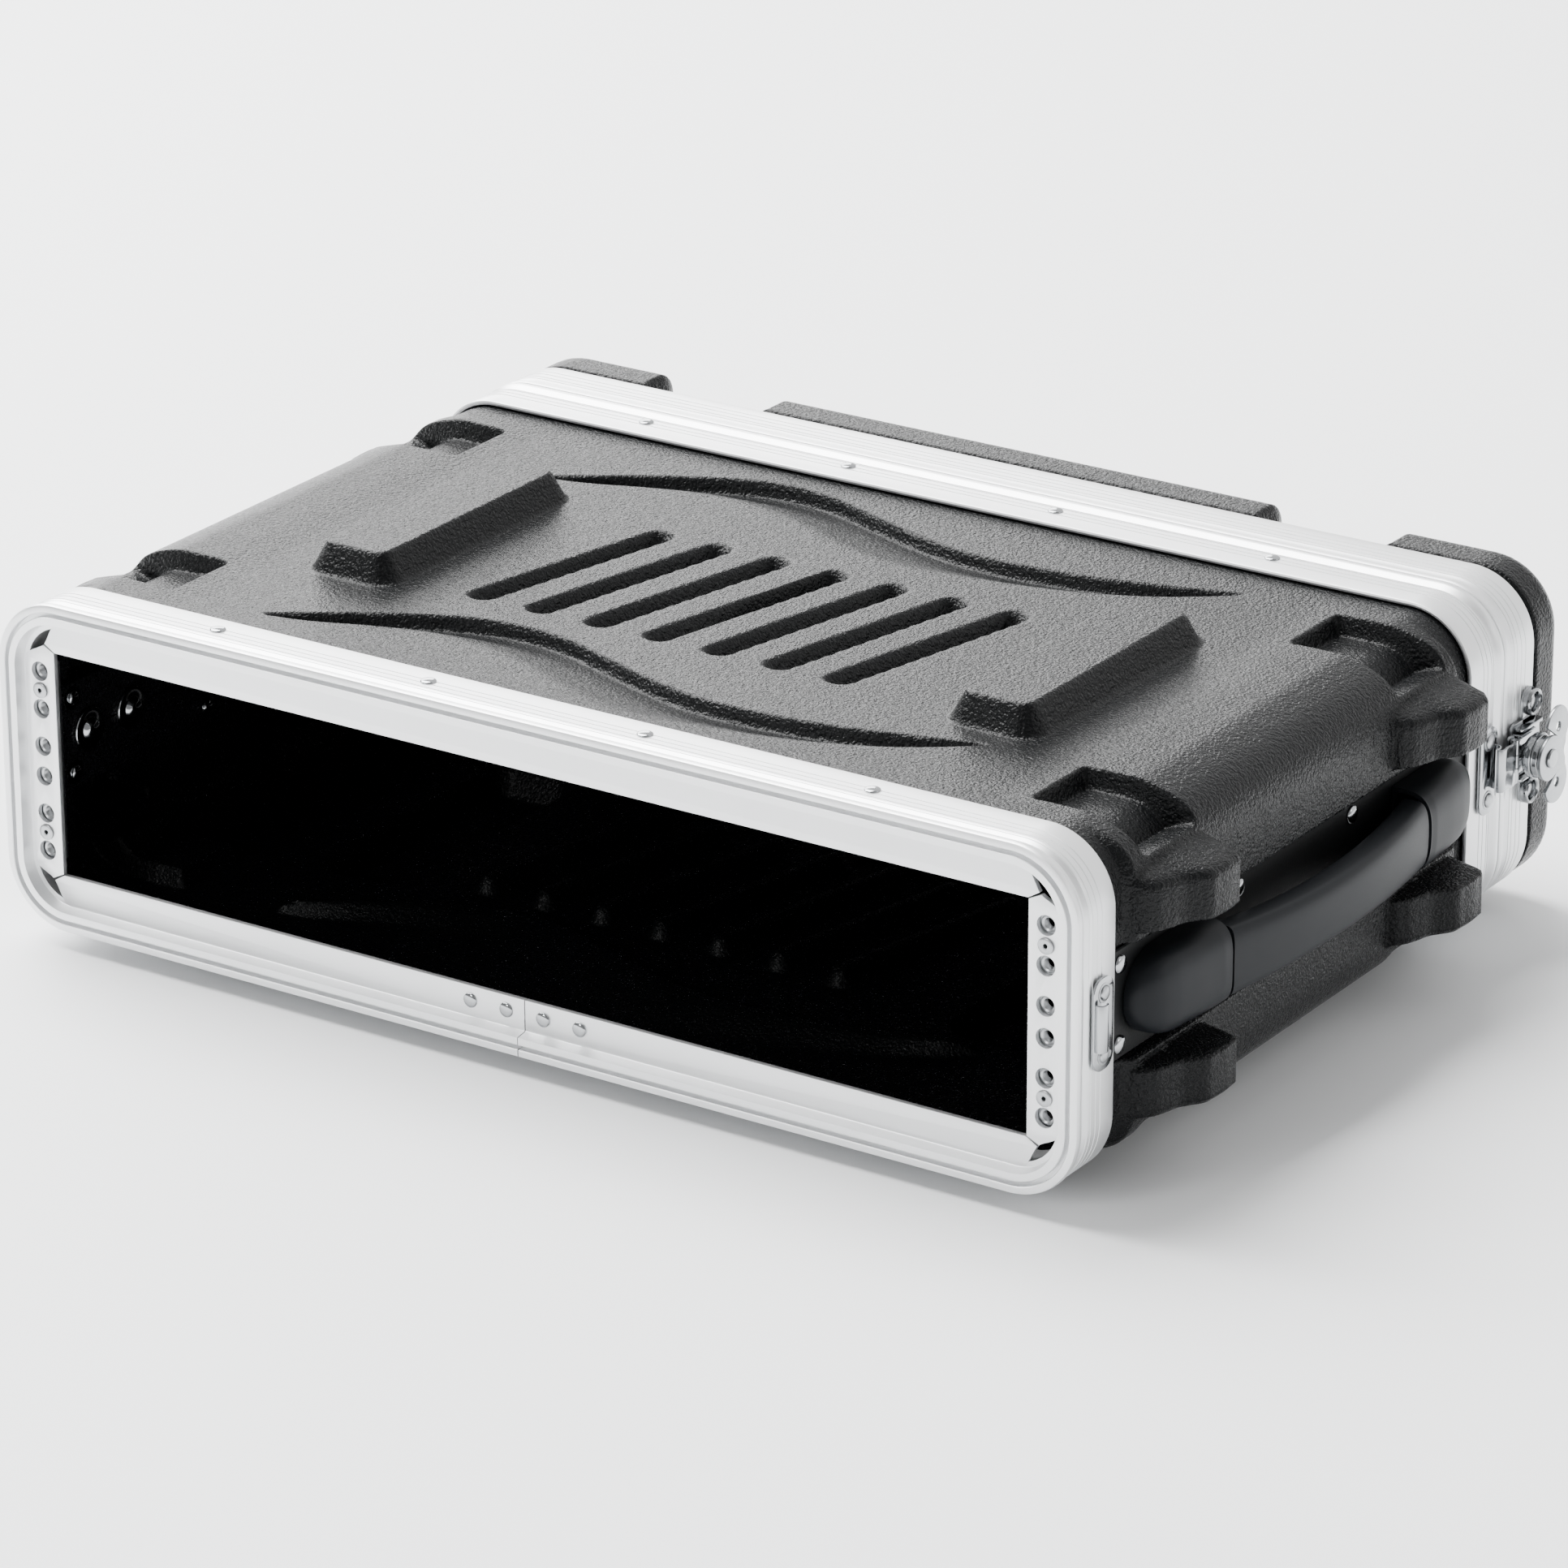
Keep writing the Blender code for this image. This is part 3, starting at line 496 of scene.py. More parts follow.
def domed_rivet(name, place, direction, radius, height, body, slot="bright_steel", replaced=(), collar=0.0):
    """A rivet head: a low dome with a small shoulder, and a shallow collar round it when pulled tight."""
    profile = [(radius * 0.72, -0.4), (radius * 0.98, 0.0), (radius, 0.22 * height)]
    for i in range(1, 7):
        a = math.radians(15 * i)
        profile.append((max(radius * math.cos(a), 0.02), height * (0.22 + 0.78 * math.sin(a))))
    meshes = [turned(profile, place, direction, 24)]
    if collar:
        ring = [(radius, -0.3), (collar, -0.3), (collar, 0.05), (radius, 0.16)]
        meshes.append(turned(ring, place, direction, 24))
    return add_piece(name, merged(meshes), body, slot, replaced, angle=50)


# ---------------------------------------------------------------- formed shells


def ramp(share, fillet=0.3):
    """From 0 to 1 as share does, straight but for rounded ends that take a part of it each."""
    t = np.clip(share, 0.0, 1.0)
    low = t * t / (2 * fillet)
    high = 1 - fillet - (1 - t) ** 2 / (2 * fillet)
    middle = t - fillet / 2
    return np.where(t < fillet, low, np.where(t > 1 - fillet, high, middle)) / (1 - fillet)


def inside_box(u, v, half_u, half_v, radius):
    """Distance outside a rounded rectangle; negative inside."""
    du = np.abs(u) - half_u + radius
    dv = np.abs(v) - half_v + radius
    outside = np.hypot(np.maximum(du, 0), np.maximum(dv, 0))
    return outside + np.minimum(np.maximum(du, dv), 0) - radius


WAVE_REAR = (
    (-153, 45.5), (-137, 56), (-120, 67), (-102, 77), (-86, 84), (-72, 87.5), (-55, 88.5), (-37, 86),
    (-12, 77.5), (11, 69.5), (35, 63.5), (55, 62), (75, 63), (100, 66.5), (128, 73.5), (157, 82),
)
WAVE_FRONT = (
    (-153, 42), (-134, 46), (-114, 53), (-94, 58.5), (-78, 60), (-57, 57), (-33, 49), (-11, 38.5), (10, 32),
    (30, 31), (50, 34), (78, 39), (105, 47), (133, 61), (157, 79.5),
)


def smooth_line(points, at):
    """A smooth curve through listed points, worked out at many places at once."""
    u, v = (np.array(column, float) for column in zip(*points))
    slopes = np.gradient(v, u)
    i = np.clip(np.searchsorted(u, at) - 1, 0, len(u) - 2)
    gap = u[i + 1] - u[i]
    t = np.clip((at - u[i]) / gap, 0, 1)
    bend = t * (1 - t) * ((1 - t) * slopes[i] - t * slopes[i + 1]) * gap
    blend = t * t * (3 - 2 * t)
    return v[i] * (1 - blend) + v[i + 1] * blend + bend


def wave_height(x, y, shift):
    """A long lens-shaped groove that swings across the panel: a steep wall behind, a slow rise in front."""
    rear = smooth_line(WAVE_REAR, x) + shift
    front = smooth_line(WAVE_FRONT, x) + shift
    ends = (x > WAVE_REAR[0][0]) & (x < WAVE_REAR[-1][0])
    back = ramp((rear - y) / 5.0, 0.35)
    near = 0.8 * ramp((y - front) / np.maximum(rear - front - 5.0, 4.0), 0.3)
    return np.where(ends, np.minimum(back, near), 0)


def flute_height(x, y, count):
    """Slanted slots with round ends in the middle of the panel."""
    pitch, reach, lean, half = 28.0, 46.0, 10.0, 6.5
    deepest = np.zeros_like(x)
    for index in range(count):
        middle = (index - (count - 1) / 2) * pitch
        along = np.clip((y - MIDDLE + 3) / reach, -1, 1)
        dx = x - middle - lean * along
        dy = y - MIDDLE + 3 - reach * along
        away = np.hypot(dx * math.cos(math.atan2(lean, reach)), dy)
        deepest = np.maximum(deepest, ramp((half - away) / 4.2, 0.35))
    return deepest


BUMPER_PLAN = (
    (30.5, 238), (31.5, 246), (33.5, 252), (37, 256), (44, 259.3), (51, 261.5), (55, 264.5), (59, 267.3),
    (64, 268), (75, 268), (79, 267), (81.5, 263), (82.8, 254), (83.4, 238),
)


def stations(low, high, step, marks, reach=3.0, fine=0.55):
    """Positions from low to high, closer together near the marks."""
    values = [low]
    while values[-1] < high:
        near = min((abs(values[-1] - m) for m in marks), default=1e9)
        away = min(step, max(fine, (near - reach) * 0.6))
        values.append(values[-1] + (fine if near < reach else away))
    values[-1] = high
    return np.array(values)


def shell_section(step):
    """The half section from the right side's foot over the top to the left.

    It gives each point's place, its normal and its unrolled width.
    """
    half_w = HALF_WIDTH - SHELL_INSET
    half_h = HALF_HEIGHT - SHELL_INSET
    radius = CORNER_RADIUS - SHELL_INSET
    top = half_w - radius
    side_length = half_h - radius - 0.3
    corner = radius * math.pi / 2
    end = top + corner + side_length
    marks = [0, 129, 132, 135, 165, 168, 171, 199, 202, 247, 250, end - 24, end - 20, end - 17, end - 14]
    widths = stations(0, end, step, marks)
    widths = np.concatenate([-widths[:0:-1], widths])
    u = np.abs(widths)
    turn = np.clip((u - top) / radius, 0, math.pi / 2)
    x = np.where(u < top, u, top + radius * np.sin(turn))
    z = half_h - radius + radius * np.cos(turn) - np.maximum(u - top - corner, 0)
    sign = np.where(widths < 0, -1.0, 1.0)
    return sign * x, z, sign * np.sin(turn), np.cos(turn), widths


def shell_points(side, drop):
    """The grid of one shell's skin, lowered by the wall for its inner face."""
    grid = shape_size("grid")
    sag = shape_size("sag")
    x, z, nx, nz, widths = shell_section(grid)
    marks = [30, 35, 44, 79, 82, 92, 95, 98, 215, 218, 221, 223, 233, 268, 271, 274, 278]
    front, rear = SHELL_SPAN
    bands = ((front, 30, grid), (30, 92, grid / 2), (92, 220, grid), (220, 282, grid / 2), (282, rear, grid))
    runs = [stations(*band, [m for m in marks if band[0] < m < band[1]]) for band in bands]
    ys = np.unique(np.concatenate(runs))
    big = (len(widths), len(ys))
    y = np.broadcast_to(ys, big)
    across = np.broadcast_to(widths[:, None], big)
    base_x = np.broadcast_to(x[:, None], big)
    base_z = np.broadcast_to(z[:, None], big)
    notch = np.zeros(big)
    for front in (42.0, 231.0):
        reach = inside_box(np.abs(across) - 224.5, y - front - 19.5, 26.0, 19.5, 4.0)
        notch = np.maximum(notch, ramp(-reach / 4.0, 0.3))
    bulge = ramp((np.abs(across) - 226) / 26, 0.4) * ramp((y - 29) / 6, 0.4) * ramp((281 - y) / 6, 0.4)
    lift = shape_size("side_bulge") * bulge * (1 - notch) - shape_size("notch_depth") * notch
    on_top = np.abs(across) < 215
    field = ramp((212 - np.abs(across)) / 30, 0.4)
    field = field * ramp((y - 22) / 22, 0.4) * ramp((289 - y) / 22, 0.4)
    lift = lift - sag * field
    pad = inside_box(np.abs(base_x) - PAD_X, y - MIDDLE + 0.8, 13.8, 57.8, 4.0)
    lift = lift + (FEET_HEIGHT + sag) * ramp(1 - pad / 8.6, 0.26) * on_top
    groove = np.maximum(wave_height(base_x, y, 0.0), wave_height(base_x, y, 190.0))
    groove = np.maximum(groove, flute_height(base_x, y, bpy.context.scene.case_shapes.flutes))
    lift = lift - shape_size("groove_depth") * groove * on_top
    strip = ramp((STRIP_HALF + 1.6 - base_z) / 1.6, 0.4)
    lift = lift * (1 - strip) - (HALF_WIDTH - SHELL_INSET - STRIP_SPAN[0] + 0.3) * strip
    lift = lift - drop
    px = base_x + np.broadcast_to(nx[:, None], big) * lift
    pz = base_z + np.broadcast_to(nz[:, None], big) * lift
    reach = np.maximum(smooth_line(BUMPER_PLAN, y), smooth_line(BUMPER_PLAN, y - 190)) - drop
    under = ramp((base_z - 24.0 - drop) / 4.0, 0.42)
    shoulder = ramp((53.0 - drop - base_z) / 8.5, 0.14)
    out = 236 + (reach - 236) * under * shoulder
    px = np.where((base_z < 50) & (np.abs(px) < out), np.sign(base_x) * out, px)
    return np.stack([px, y, side * pz], axis=-1)


def sheet_mesh(outer, inner):
    """Two grids of points, face to face, closed round their edges."""
    rows, columns = outer.shape[:2]
    index = np.arange(rows * columns).reshape(rows, columns)
    quads = np.stack([index[:-1, :-1], index[1:, :-1], index[1:, 1:], index[:-1, 1:]], axis=-1).reshape(-1, 4)
    below = rows * columns
    faces = [tuple(q) for q in quads.tolist()] + [tuple(q[::-1]) for q in (quads + below).tolist()]
    rim = list(index[:, 0]) + list(index[-1, 1:]) + list(index[-2::-1, -1]) + list(index[0, -2:0:-1])
    for i, a in enumerate(rim):
        b = rim[(i + 1) % len(rim)]
        faces.append((int(a), int(a + below), int(b + below), int(b)))
    points = np.concatenate([outer.reshape(-1, 3), inner.reshape(-1, 3)])
    return mesh_of(points, faces)


def body_shell(name, side, node):
    wall = shape_size("wall")
    mesh = sheet_mesh(shell_points(side, 0.0), shell_points(side, wall))
    add_piece(name, mesh, "case", "formed_shell", [node], angle=70)


def channel(x):
    """How deep the cover's two channels are at x."""
    return 9.5 * ramp((32 - np.abs(np.abs(x) - PAD_X)) / 7.0, 0.45)


def cover_rows():
    """The cover's wall from its front edge round to its back: inset, distance back and tilt of each row."""
    edge = CASE_BACK - COVER_ROUNDING
    rows = [(0.0, y, 0.0) for y in np.linspace(326.4, COVER_STEP, 5)]
    for t in np.linspace(0.2, 1, 5):
        rows.append((-COVER_PROUD * float(ramp(np.array(t))), COVER_STEP + 2.2 * t, 0.0))
    rows += [(-COVER_PROUD, y, 0.0) for y in np.linspace(COVER_STEP + 2.2, edge, 7)[1:]]
    for t in np.linspace(0, math.pi / 2, 10)[1:]:
        inset = COVER_ROUNDING * (1 - math.cos(t)) - COVER_PROUD
        rows.append((inset, edge + COVER_ROUNDING * math.sin(t), t))
    last = CORNER_RADIUS - SHELL_INSET
    return rows + [(inset, CASE_BACK, math.pi / 2) for inset in np.linspace(rows[-1][0], last, 6)[1:]]


def cover_ring(row, xs, zs, drop):
    """One ring of the cover: straight runs at fixed stations and four corner arcs."""
    inset, y, tilt = row
    radius = CORNER_RADIUS - SHELL_INSET
    middle_x = HALF_WIDTH - CORNER_RADIUS
    middle_z = HALF_HEIGHT - CORNER_RADIUS
    start = float(ramp(np.array((y - COVER_STEP) / 4.0), 0.4))
    ring = []

    def put(x, z, nx, nz):
        sink = drop + float(channel(np.array(x))) * start
        wide = math.cos(tilt) * sink
        ring.append((x - nx * wide, y - math.sin(tilt) * sink, z - nz * wide))

    runs = ((1, 0, zs), (0, 1, xs[::-1]), (-1, 0, zs[::-1]), (0, -1, xs))
    corners = ((1, 1), (-1, 1), (-1, -1), (1, -1))
    for turn, ((nx, nz, along), (right, up)) in enumerate(zip(runs, corners)):
        for a in along:
            x = nx * (middle_x + radius - inset) if nx else a
            z = nz * (middle_z + radius - inset) if nz else a
            put(x, z, nx, nz)
        for i in range(1, 12):
            t = math.pi / 2 * (turn + i / 12)
            c, d = math.cos(t), math.sin(t)
            put(right * middle_x + (radius - inset) * c, up * middle_z + (radius - inset) * d, c, d)
    return ring


def cover_shell():
    """The rear cover's formed shell: three raised parts with rounded edges and two channels between them."""
    step = shape_size("grid") * 1.3
    middle_x = HALF_WIDTH - CORNER_RADIUS
    middle_z = HALF_HEIGHT - CORNER_RADIUS
    xs = stations(-middle_x, middle_x, step, [-182, -175, -125, -118, 118, 125, 175, 182])
    zs = stations(-middle_z, middle_z, step * 2, [])
    points = []
    faces = []
    starts = []
    for drop in (0.0, shape_size("wall")):
        rings = [cover_ring(row, xs, zs, drop) for row in cover_rows()]
        count = len(rings[0])
        starts.append(len(points))
        for r in range(len(rings) - 1):
            for i in range(count):
                j = (i + 1) % count
                a, b = starts[-1] + r * count, starts[-1] + (r + 1) * count
                faces.append((a + i, a + j, b + j, b + i))
        points += [p for ring in rings for p in ring]
        base = len(points)
        tall = len(zs)
        points += [(x, CASE_BACK - drop - float(channel(np.array(x))), z) for x in xs for z in zs]
        for i in range(len(xs) - 1):
            for j in range(tall - 1):
                a = base + i * tall + j
                faces.append((a, a + 1, a + tall + 1, a + tall))
    for i in range(count):
        j = (i + 1) % count
        faces.append((i, j, starts[1] + j, starts[1] + i))
    add_piece("cover_outer_shell", mesh_of(points, faces), "cover", "formed_shell", ["cover_shell"], angle=60)


def joint_strips():
    """The flat strips over the halves' joints, with their rivets outside and the shop heads inside."""
    rows = [28.5, 113.7, 199.4, 284.5]
    for label, side in (("right", 1), ("left", -1)):
        low, high = STRIP_SPAN
        outline = [(low, -STRIP_HALF), (high - 0.5, -STRIP_HALF), (high, -STRIP_HALF + 0.5)]
        outline += [(x, -z) for x, z in reversed(outline)]
        section = [(side * x, z) for x, z in outline]
        rows_of_points = [[(x, y, z) for x, z in section] for y in SHELL_SPAN]
        cuts = [rod((side * 240, y, 0), (side * 250, y, 0), 3.2) for y in BOLT_YS]
        replaced = [f"side_strip_{label}"]
        add_piece(f"joint_strip_{label}", skin(rows_of_points), "case", "joint_strip", replaced, cuts=cuts)
        for number, y in enumerate(rows):
            for where, z in (("upper", 16.0), ("lower", -16.0)):
                ending = f"{label}_{where}_{number + 1}"
                domed_rivet(f"strip_rivet_{ending}", (side * high, y, z), (side, 0, 0), 3.8, 1.9, "case")
                inside = (side * 240.2, y, z)
                domed_rivet(f"shop_head_{ending}", inside, (-side, 0, 0), 3.0, 1.8, "case", collar=5.0)


# ---------------------------------------------------------------- frames


def line_cut(inset, y, half=0.28, depth=0.35):
    """A fine drawn line in a band's outer face."""
    floor = inset + depth
    return [(inset, y - half), (floor, y - half * 0.4), (floor, y + half * 0.4), (inset, y + half)]


def body_profile():
    """The body frames' section: inset from the case's outline, and distance behind the flange."""
    points = [(8.4, -4.9), (8.0, -5.0), (5.5, -5.0), (5.2, -4.7), (5.2, -2), (3.4, -2), (3.4, -4.7)]
    points += [(3.1, -5.0), (1.3, -5.0), (0.4, -4.6), (0.0, -3.7), (0.0, -2.6), (0.3, -1.6), (1.2, -0.4)]
    points += [(1.75, 0.6), (1.75, 1.4), (1.2, 2.4)]
    points += line_cut(0.8, 3.3) + [(0.55, 4.2)]
    for y in (5.3, 8.6, 11.8):
        points += line_cut(0.5, y)
    points += [(0.5, 20.6), (0.8, 21.4), (1.5, 21.7), (2.3, 21.6), (2.7, 21.0), (2.7, 2.2), (9.6, 2.2)]
    return points + [(9.6, 12), (11.4, 12), (11.4, 0.1), (9.4, 0.1), (9.15, -0.3)]


def cover_profile():
    """The cover frame's section, with the tongue that enters the rear frame's groove."""
    points = [(8.2, 316.3), (4.8, 316.3), (4.8, 313.9), (4.6, 313.7), (4.0, 313.7), (3.8, 313.9)]
    points += [(3.8, 316.3), (1.3, 316.3), (0.4, 316.7), (0.0, 317.6), (0.0, 318.6), (0.3, 319.6)]
    points += [(1.0, 320.8), (1.1, 321.8), (0.7, 323.0)]
    points += line_cut(0.45, 324.2) + line_cut(0.3, 326.4) + line_cut(0.3, 330.0) + line_cut(0.3, 333.4)
    points += [(0.3, 339.9), (0.6, 340.7), (1.3, 341.0), (2.3, 340.9), (2.7, 340.3), (2.7, 326)]
    return points + [(6.7, 326), (6.7, 336), (8.2, 336)]


def case_ring(inset, y, steps=18):
    outline = rounded_rect(HALF_WIDTH - inset, HALF_HEIGHT - inset, CORNER_RADIUS - inset, steps)
    return [(x, y, z) for x, z in outline]


def frame_ring(name, profile, body, replaced, seam):
    """A section drawn round the case, with the slit where its two ends meet at the bottom."""
    rings = [case_ring(inset, y) for inset, y in profile]
    slit = block((-0.22, seam[0], -72), (0.22, seam[1], -57))
    add_piece(name, skin(rings, closed=True), body, "aluminium", [replaced], angle=28, cuts=[slit])


def corner_line(right, up, start, end):
    """The flange's hollow edge at a corner, where it was notched to be bent."""
    corner = (HALF_WIDTH - CORNER_RADIUS, HALF_HEIGHT - CORNER_RADIUS)
    line = []
    for i in range(7):
        a = start + (end - start) * i / 6
        radius = 18.6 - 5.2 * math.sin(math.pi * (a - 14) / 62)
        turn = math.radians(a)
        x = corner[0] + radius * math.cos(turn)
        line.append((right * x, up * (corner[1] + radius * math.sin(turn))))
    return line


def flange_plates(label, near, far, body, rivet_holes):
    """Four lengths of flange, mitred where they meet; the upright ones carry the rack's holes."""
    edge_x = HALF_WIDTH - 10.0
    edge_z = HALF_HEIGHT - 10.0
    gap = 0.35
    seam = 0.22
    for where, up in (("top", 1), ("bottom", -1)):
        right_end = corner_line(1, up, 45, 76)
        right_end[0] = (right_end[0][0] - gap, right_end[0][1] + up * gap)
        half = [(WINDOW[0] - gap, up * WINDOW[1])] + right_end + [(right_end[-1][0] - 0.5, up * edge_z)]
        left = [(-x, z) for x, z in reversed(half)]
        if up > 0:
            meshes = [flat_plate([half + left], near, far, "Y")]
        else:
            ends = [(seam, up * edge_z), (seam, up * WINDOW[1])]
            meshes = [flat_plate([half + ends], near, far, "Y")]
            meshes.append(flat_plate([left + [(-x, z) for x, z in reversed(ends)]], near, far, "Y"))
        add_piece(f"{label}_flange_{where}", merged(meshes), body, "aluminium", angle=35)
    for where, right in (("right", 1), ("left", -1)):
        upper = corner_line(right, 1, 45, 14)
        upper[0] = (upper[0][0] + right * gap, upper[0][1] - gap)
        line = [(right * WINDOW[0], WINDOW[1] - gap)] + upper + [(right * edge_x, upper[-1][1] - 0.5)]
        outline = line + [(x, -z) for x, z in reversed(line)]
        holes = [circle(right * HOLE_X, up * z, 4.0, 40) for up in (1, -1) for z in HOLE_ROWS]
        holes += [circle(right * HOLE_X, up * RAIL_RIVET_Z, 2.1, 20) for up in (1, -1) if rivet_holes]
        plate = flat_plate([outline, *holes], near, far, "Y")
        add_piece(f"{label}_flange_{where}", plate, body, "aluminium", angle=35)


def body_frames():
    """Front and rear frames of the body, the splices at their foot, and their rivets."""
    profile = body_profile()
    turned_back = [(inset, REAR_FLANGE - y) for inset, y in profile]
    frame_ring("front_frame_ring", profile, "case", "front_valance", (-6, 25))
    frame_ring("rear_frame_ring", turned_back, "case", "rear_valance", (286, 318))
    flange_plates("front", 0.0, FLANGE_THICKNESS, "case", True)
    flange_plates("rear", REAR_FLANGE - FLANGE_THICKNESS, REAR_FLANGE, "case", False)
    plate = flat_plate([rounded_rect(34, 4.4, 1.5, 5, (0, -53.2))], 2.5, 4.5, "Y")
    add_piece("front_splice", plate, "case", "aluminium", ["front_splice_plate"])
    plate = flat_plate([rounded_rect(34, 4.4, 1.5, 5, (0, -53.2))], REAR_FLANGE - 4.5, REAR_FLANGE - 2.5, "Y")
    add_piece("rear_splice", plate, "case", "aluminium", ["rear_splice_plate"])
    for number, x in enumerate((-25.5, -8.6, 8.6, 25.5)):
        domed_rivet(f"front_splice_rivet_{number + 1}", (x, 0, -53.3), (0, -1, 0), 3.1, 1.3, "case")
        domed_rivet(f"rear_splice_rivet_{number + 1}", (x, REAR_FLANGE, -53.3), (0, 1, 0), 3.1, 1.3, "case")
    for label, y in (("front", 10.8), ("rear", REAR_FLANGE - 8.5)):
        for number, x in enumerate(VALANCE_RIVETS):
            for where, up in (("top", 1), ("bottom", -1)):
                place = (x, y, up * (HALF_HEIGHT - 0.5))
                domed_rivet(f"{label}_{where}_rivet_{number + 1}", place, (0, 0, up), 3.2, 1.1, "case")


def rack_rails():
    """Zinc plated rails with tapped holes behind the front flange, and their flush rivets."""
    for label, side in (("right", 1), ("left", -1)):
        outline = rounded_rect(5.5, 42.0, 0.8, 3, (side * 232.1, 0))
        holes = [circle(side * HOLE_X, up * z, 2.6, 28) for up in (1, -1) for z in HOLE_ROWS]
        rail = flat_plate([outline, *holes], 2.5, 5.5, "Y", 0.2)
        add_piece(f"threaded_rail_{label}", rail, "case", "rail_steel", [f"rack_rail_{label}"], angle=35)
        number = 0
        for up in (1, -1):
            for z in HOLE_ROWS:
                number += 1
                thread = tapped_hole(side * HOLE_X, up * z)
                add_piece(f"tapped_hole_{label}_{number}", thread, "case", "rail_steel", angle=45)
        for where, up in (("upper", 1), ("lower", -1)):
            profile = [(2.0, 0.5), (3.25, 0.5), (3.3, 0.75), (3.0, 1.0), (1.5, 1.0), (0.95, 0.8)]
            profile += [(0.8, 0.3), (0.75, -3.5), (2.0, -3.5)]
            centre = (side * HOLE_X, -0.3, up * RAIL_RIVET_Z)
            pin = skin([turned_ring(p, centre) for p in profile], closed=True)
            replaced = [f"rack_rail_{label}_rivet_{where}"]
            add_piece(f"rail_rivet_{label}_{where}", pin, "case", "rail_steel", replaced, angle=40)


def turned_ring(pair, centre, steps=28):
    """One ring of a shape turned about the depth axis, forward of a centre."""
    radius, forward = pair
    ring = []
    for i in range(steps):
        a = 2 * math.pi * i / steps
        x = centre[0] + radius * math.cos(a)
        ring.append((x, centre[1] - forward + 0.5, centre[2] + radius * math.sin(a)))
    return ring


def tapped_hole(x, z):
    """A pulled collar with a thread cut in it."""
    pitch = 0.8
    profile = [(3.6, 0.0), (3.5, 0.5), (3.0, 0.75), (2.75, 0.6)]
    depth = 0.4
    while depth > -3.0:
        profile += [(2.25, depth), (2.62, depth - pitch / 2)]
        depth -= pitch
    profile += [(2.7, -3.0), (3.3, -3.0)]
    return skin([turned_ring(p, (x, 2.2, z)) for p in profile], closed=True)


# ---------------------------------------------------------------- keepers and latches


def keepers():
    """Riveted keeper plates with a curled lip: a front pair for a front cover and a rear pair in use."""
    for end, y, toward in (("front", FRONT_KEEPER_Y, 1), ("rear", REAR_KEEPER_Y, -1)):
        for label, side in (("right", 1), ("left", -1)):
            name = f"{end}_keeper_{label}"
            outline = rounded_rect(6.8, 18.3, 5.6, 8, (y, 0))
            holes = [circle(y, z, 2.1, 20) for z in (KEEPER_Z, -KEEPER_Z)]
            low, high = sorted((side * 249.8, side * 251.0))
            plate = flat_plate([outline, *holes], low, high, "X", 0.25)
            ridge = y - toward * 6.0
            curl = curl_outline(ridge, toward)
            hook = flat_plate([[(side * x, v) for x, v in curl]], -9.4, 9.4, "Z", 0.2)
            add_piece(f"{name}_plate", merged([plate, hook]), "case", "bright_steel", [name], angle=35)
            for where, z in (("upper", KEEPER_Z), ("lower", -KEEPER_Z)):
                place = (side * 251.1, y, z)
                replaced = [f"{name}_rivet_{where}"]
                pin = f"{name}_pin_{where}"
                domed_rivet(pin, place, (side, 0, 0), 3.0, 1.3, "case", "rail_steel", replaced, collar=3.9)


def curl_outline(ridge, toward):
    """The keeper's curled lip in plan: a strip that rises from the plate and turns back over it."""
    out, back = 251.6, ridge + 2.7 * toward
    faces = []
    for radius in (2.9, 2.1):
        turns = np.linspace(-0.9, 2.1, 14)
        faces.append([(out + radius * math.cos(t), back - toward * radius * math.sin(t)) for t in turns])
    return faces[0] + faces[1][::-1]


def butterfly():
    """The wing's outline: a round middle on the spindle and two lobes behind it."""
    upper = arc((0, 0), 9.3, 180, 64, 16) + arc((5.2, 11.6), 8.9, 166, -36, 24)
    waist = arc((15.6, 0), 4.6, 142, 180, 6)
    line = upper + waist
    return [(SPINDLE_Y + y, z) for y, z in line + [(y, -z) for y, z in line[-2:0:-1]]]


def latch(label, side):
    """One butterfly latch: its base, slide, claw, cam and wing."""
    def span(near, far):
        return sorted((side * near, side * far))

    eye_y, eye_z = EYELET
    plates = [flat_plate([rounded_rect(9.8, 12.4, 2, 4, (331.2, 0))], *span(249.6, 250.8), "X", 0.2)]
    plates.append(flat_plate([rounded_rect(5.7, 24.6, 5.6, 10, (eye_y, 0))], *span(249.6, 250.8), "X", 0.2))
    for z in (eye_z, -eye_z):
        rim = [(5.7, 0), (5.7, 2.3), (5.35, 3.0), (4.8, 3.3), (4.25, 3.0), (3.9, 2.3), (3.7, 0.6), (3.7, 0)]
        plates.append(eyelet_ring(rim, side, eye_y, z))
    for z in (10.6, -10.6):
        low, high = span(250.6, 254.8)
        wall = flat_plate([rounded_rect(9.0, 2.1, 1.6, 5, (331.5, 0))], z - 0.6, z + 0.6, "Z", 0.2)
        wall.transform(Matrix.Translation(ORIGIN * MM) @ lay_wall(side) @ Matrix.Translation(-ORIGIN * MM))
        plates.append(wall)
    replaced = [f"latch_base_{label}"]
    add_piece(f"latch_plate_{label}", merged(plates), "cover", "bright_steel", replaced, angle=35)
    for where, z in (("upper", eye_z), ("lower", -eye_z)):
        place = (side * 251.0, eye_y, z)
        replaced = [f"latch_rivet_{label}_{where}"]
        pin = f"latch_pin_{label}_{where}"
        domed_rivet(pin, place, (side, 0, 0), 3.2, 1.4, "cover", "rail_steel", replaced)
    slide_parts(label, side, span)
    claw_parts(label, side)
    cam_and_wing(label, side, span)


def lay_wall(side):
    """Turns a wall drawn across the depth into one that stands out from the side."""
    return Matrix(
        (
            (0, side, 0, side * 252.7 * MM),
            (1, 0, 0, 0),
            (0, 0, 1, 0),
            (0, 0, 0, 1),
        )
    )


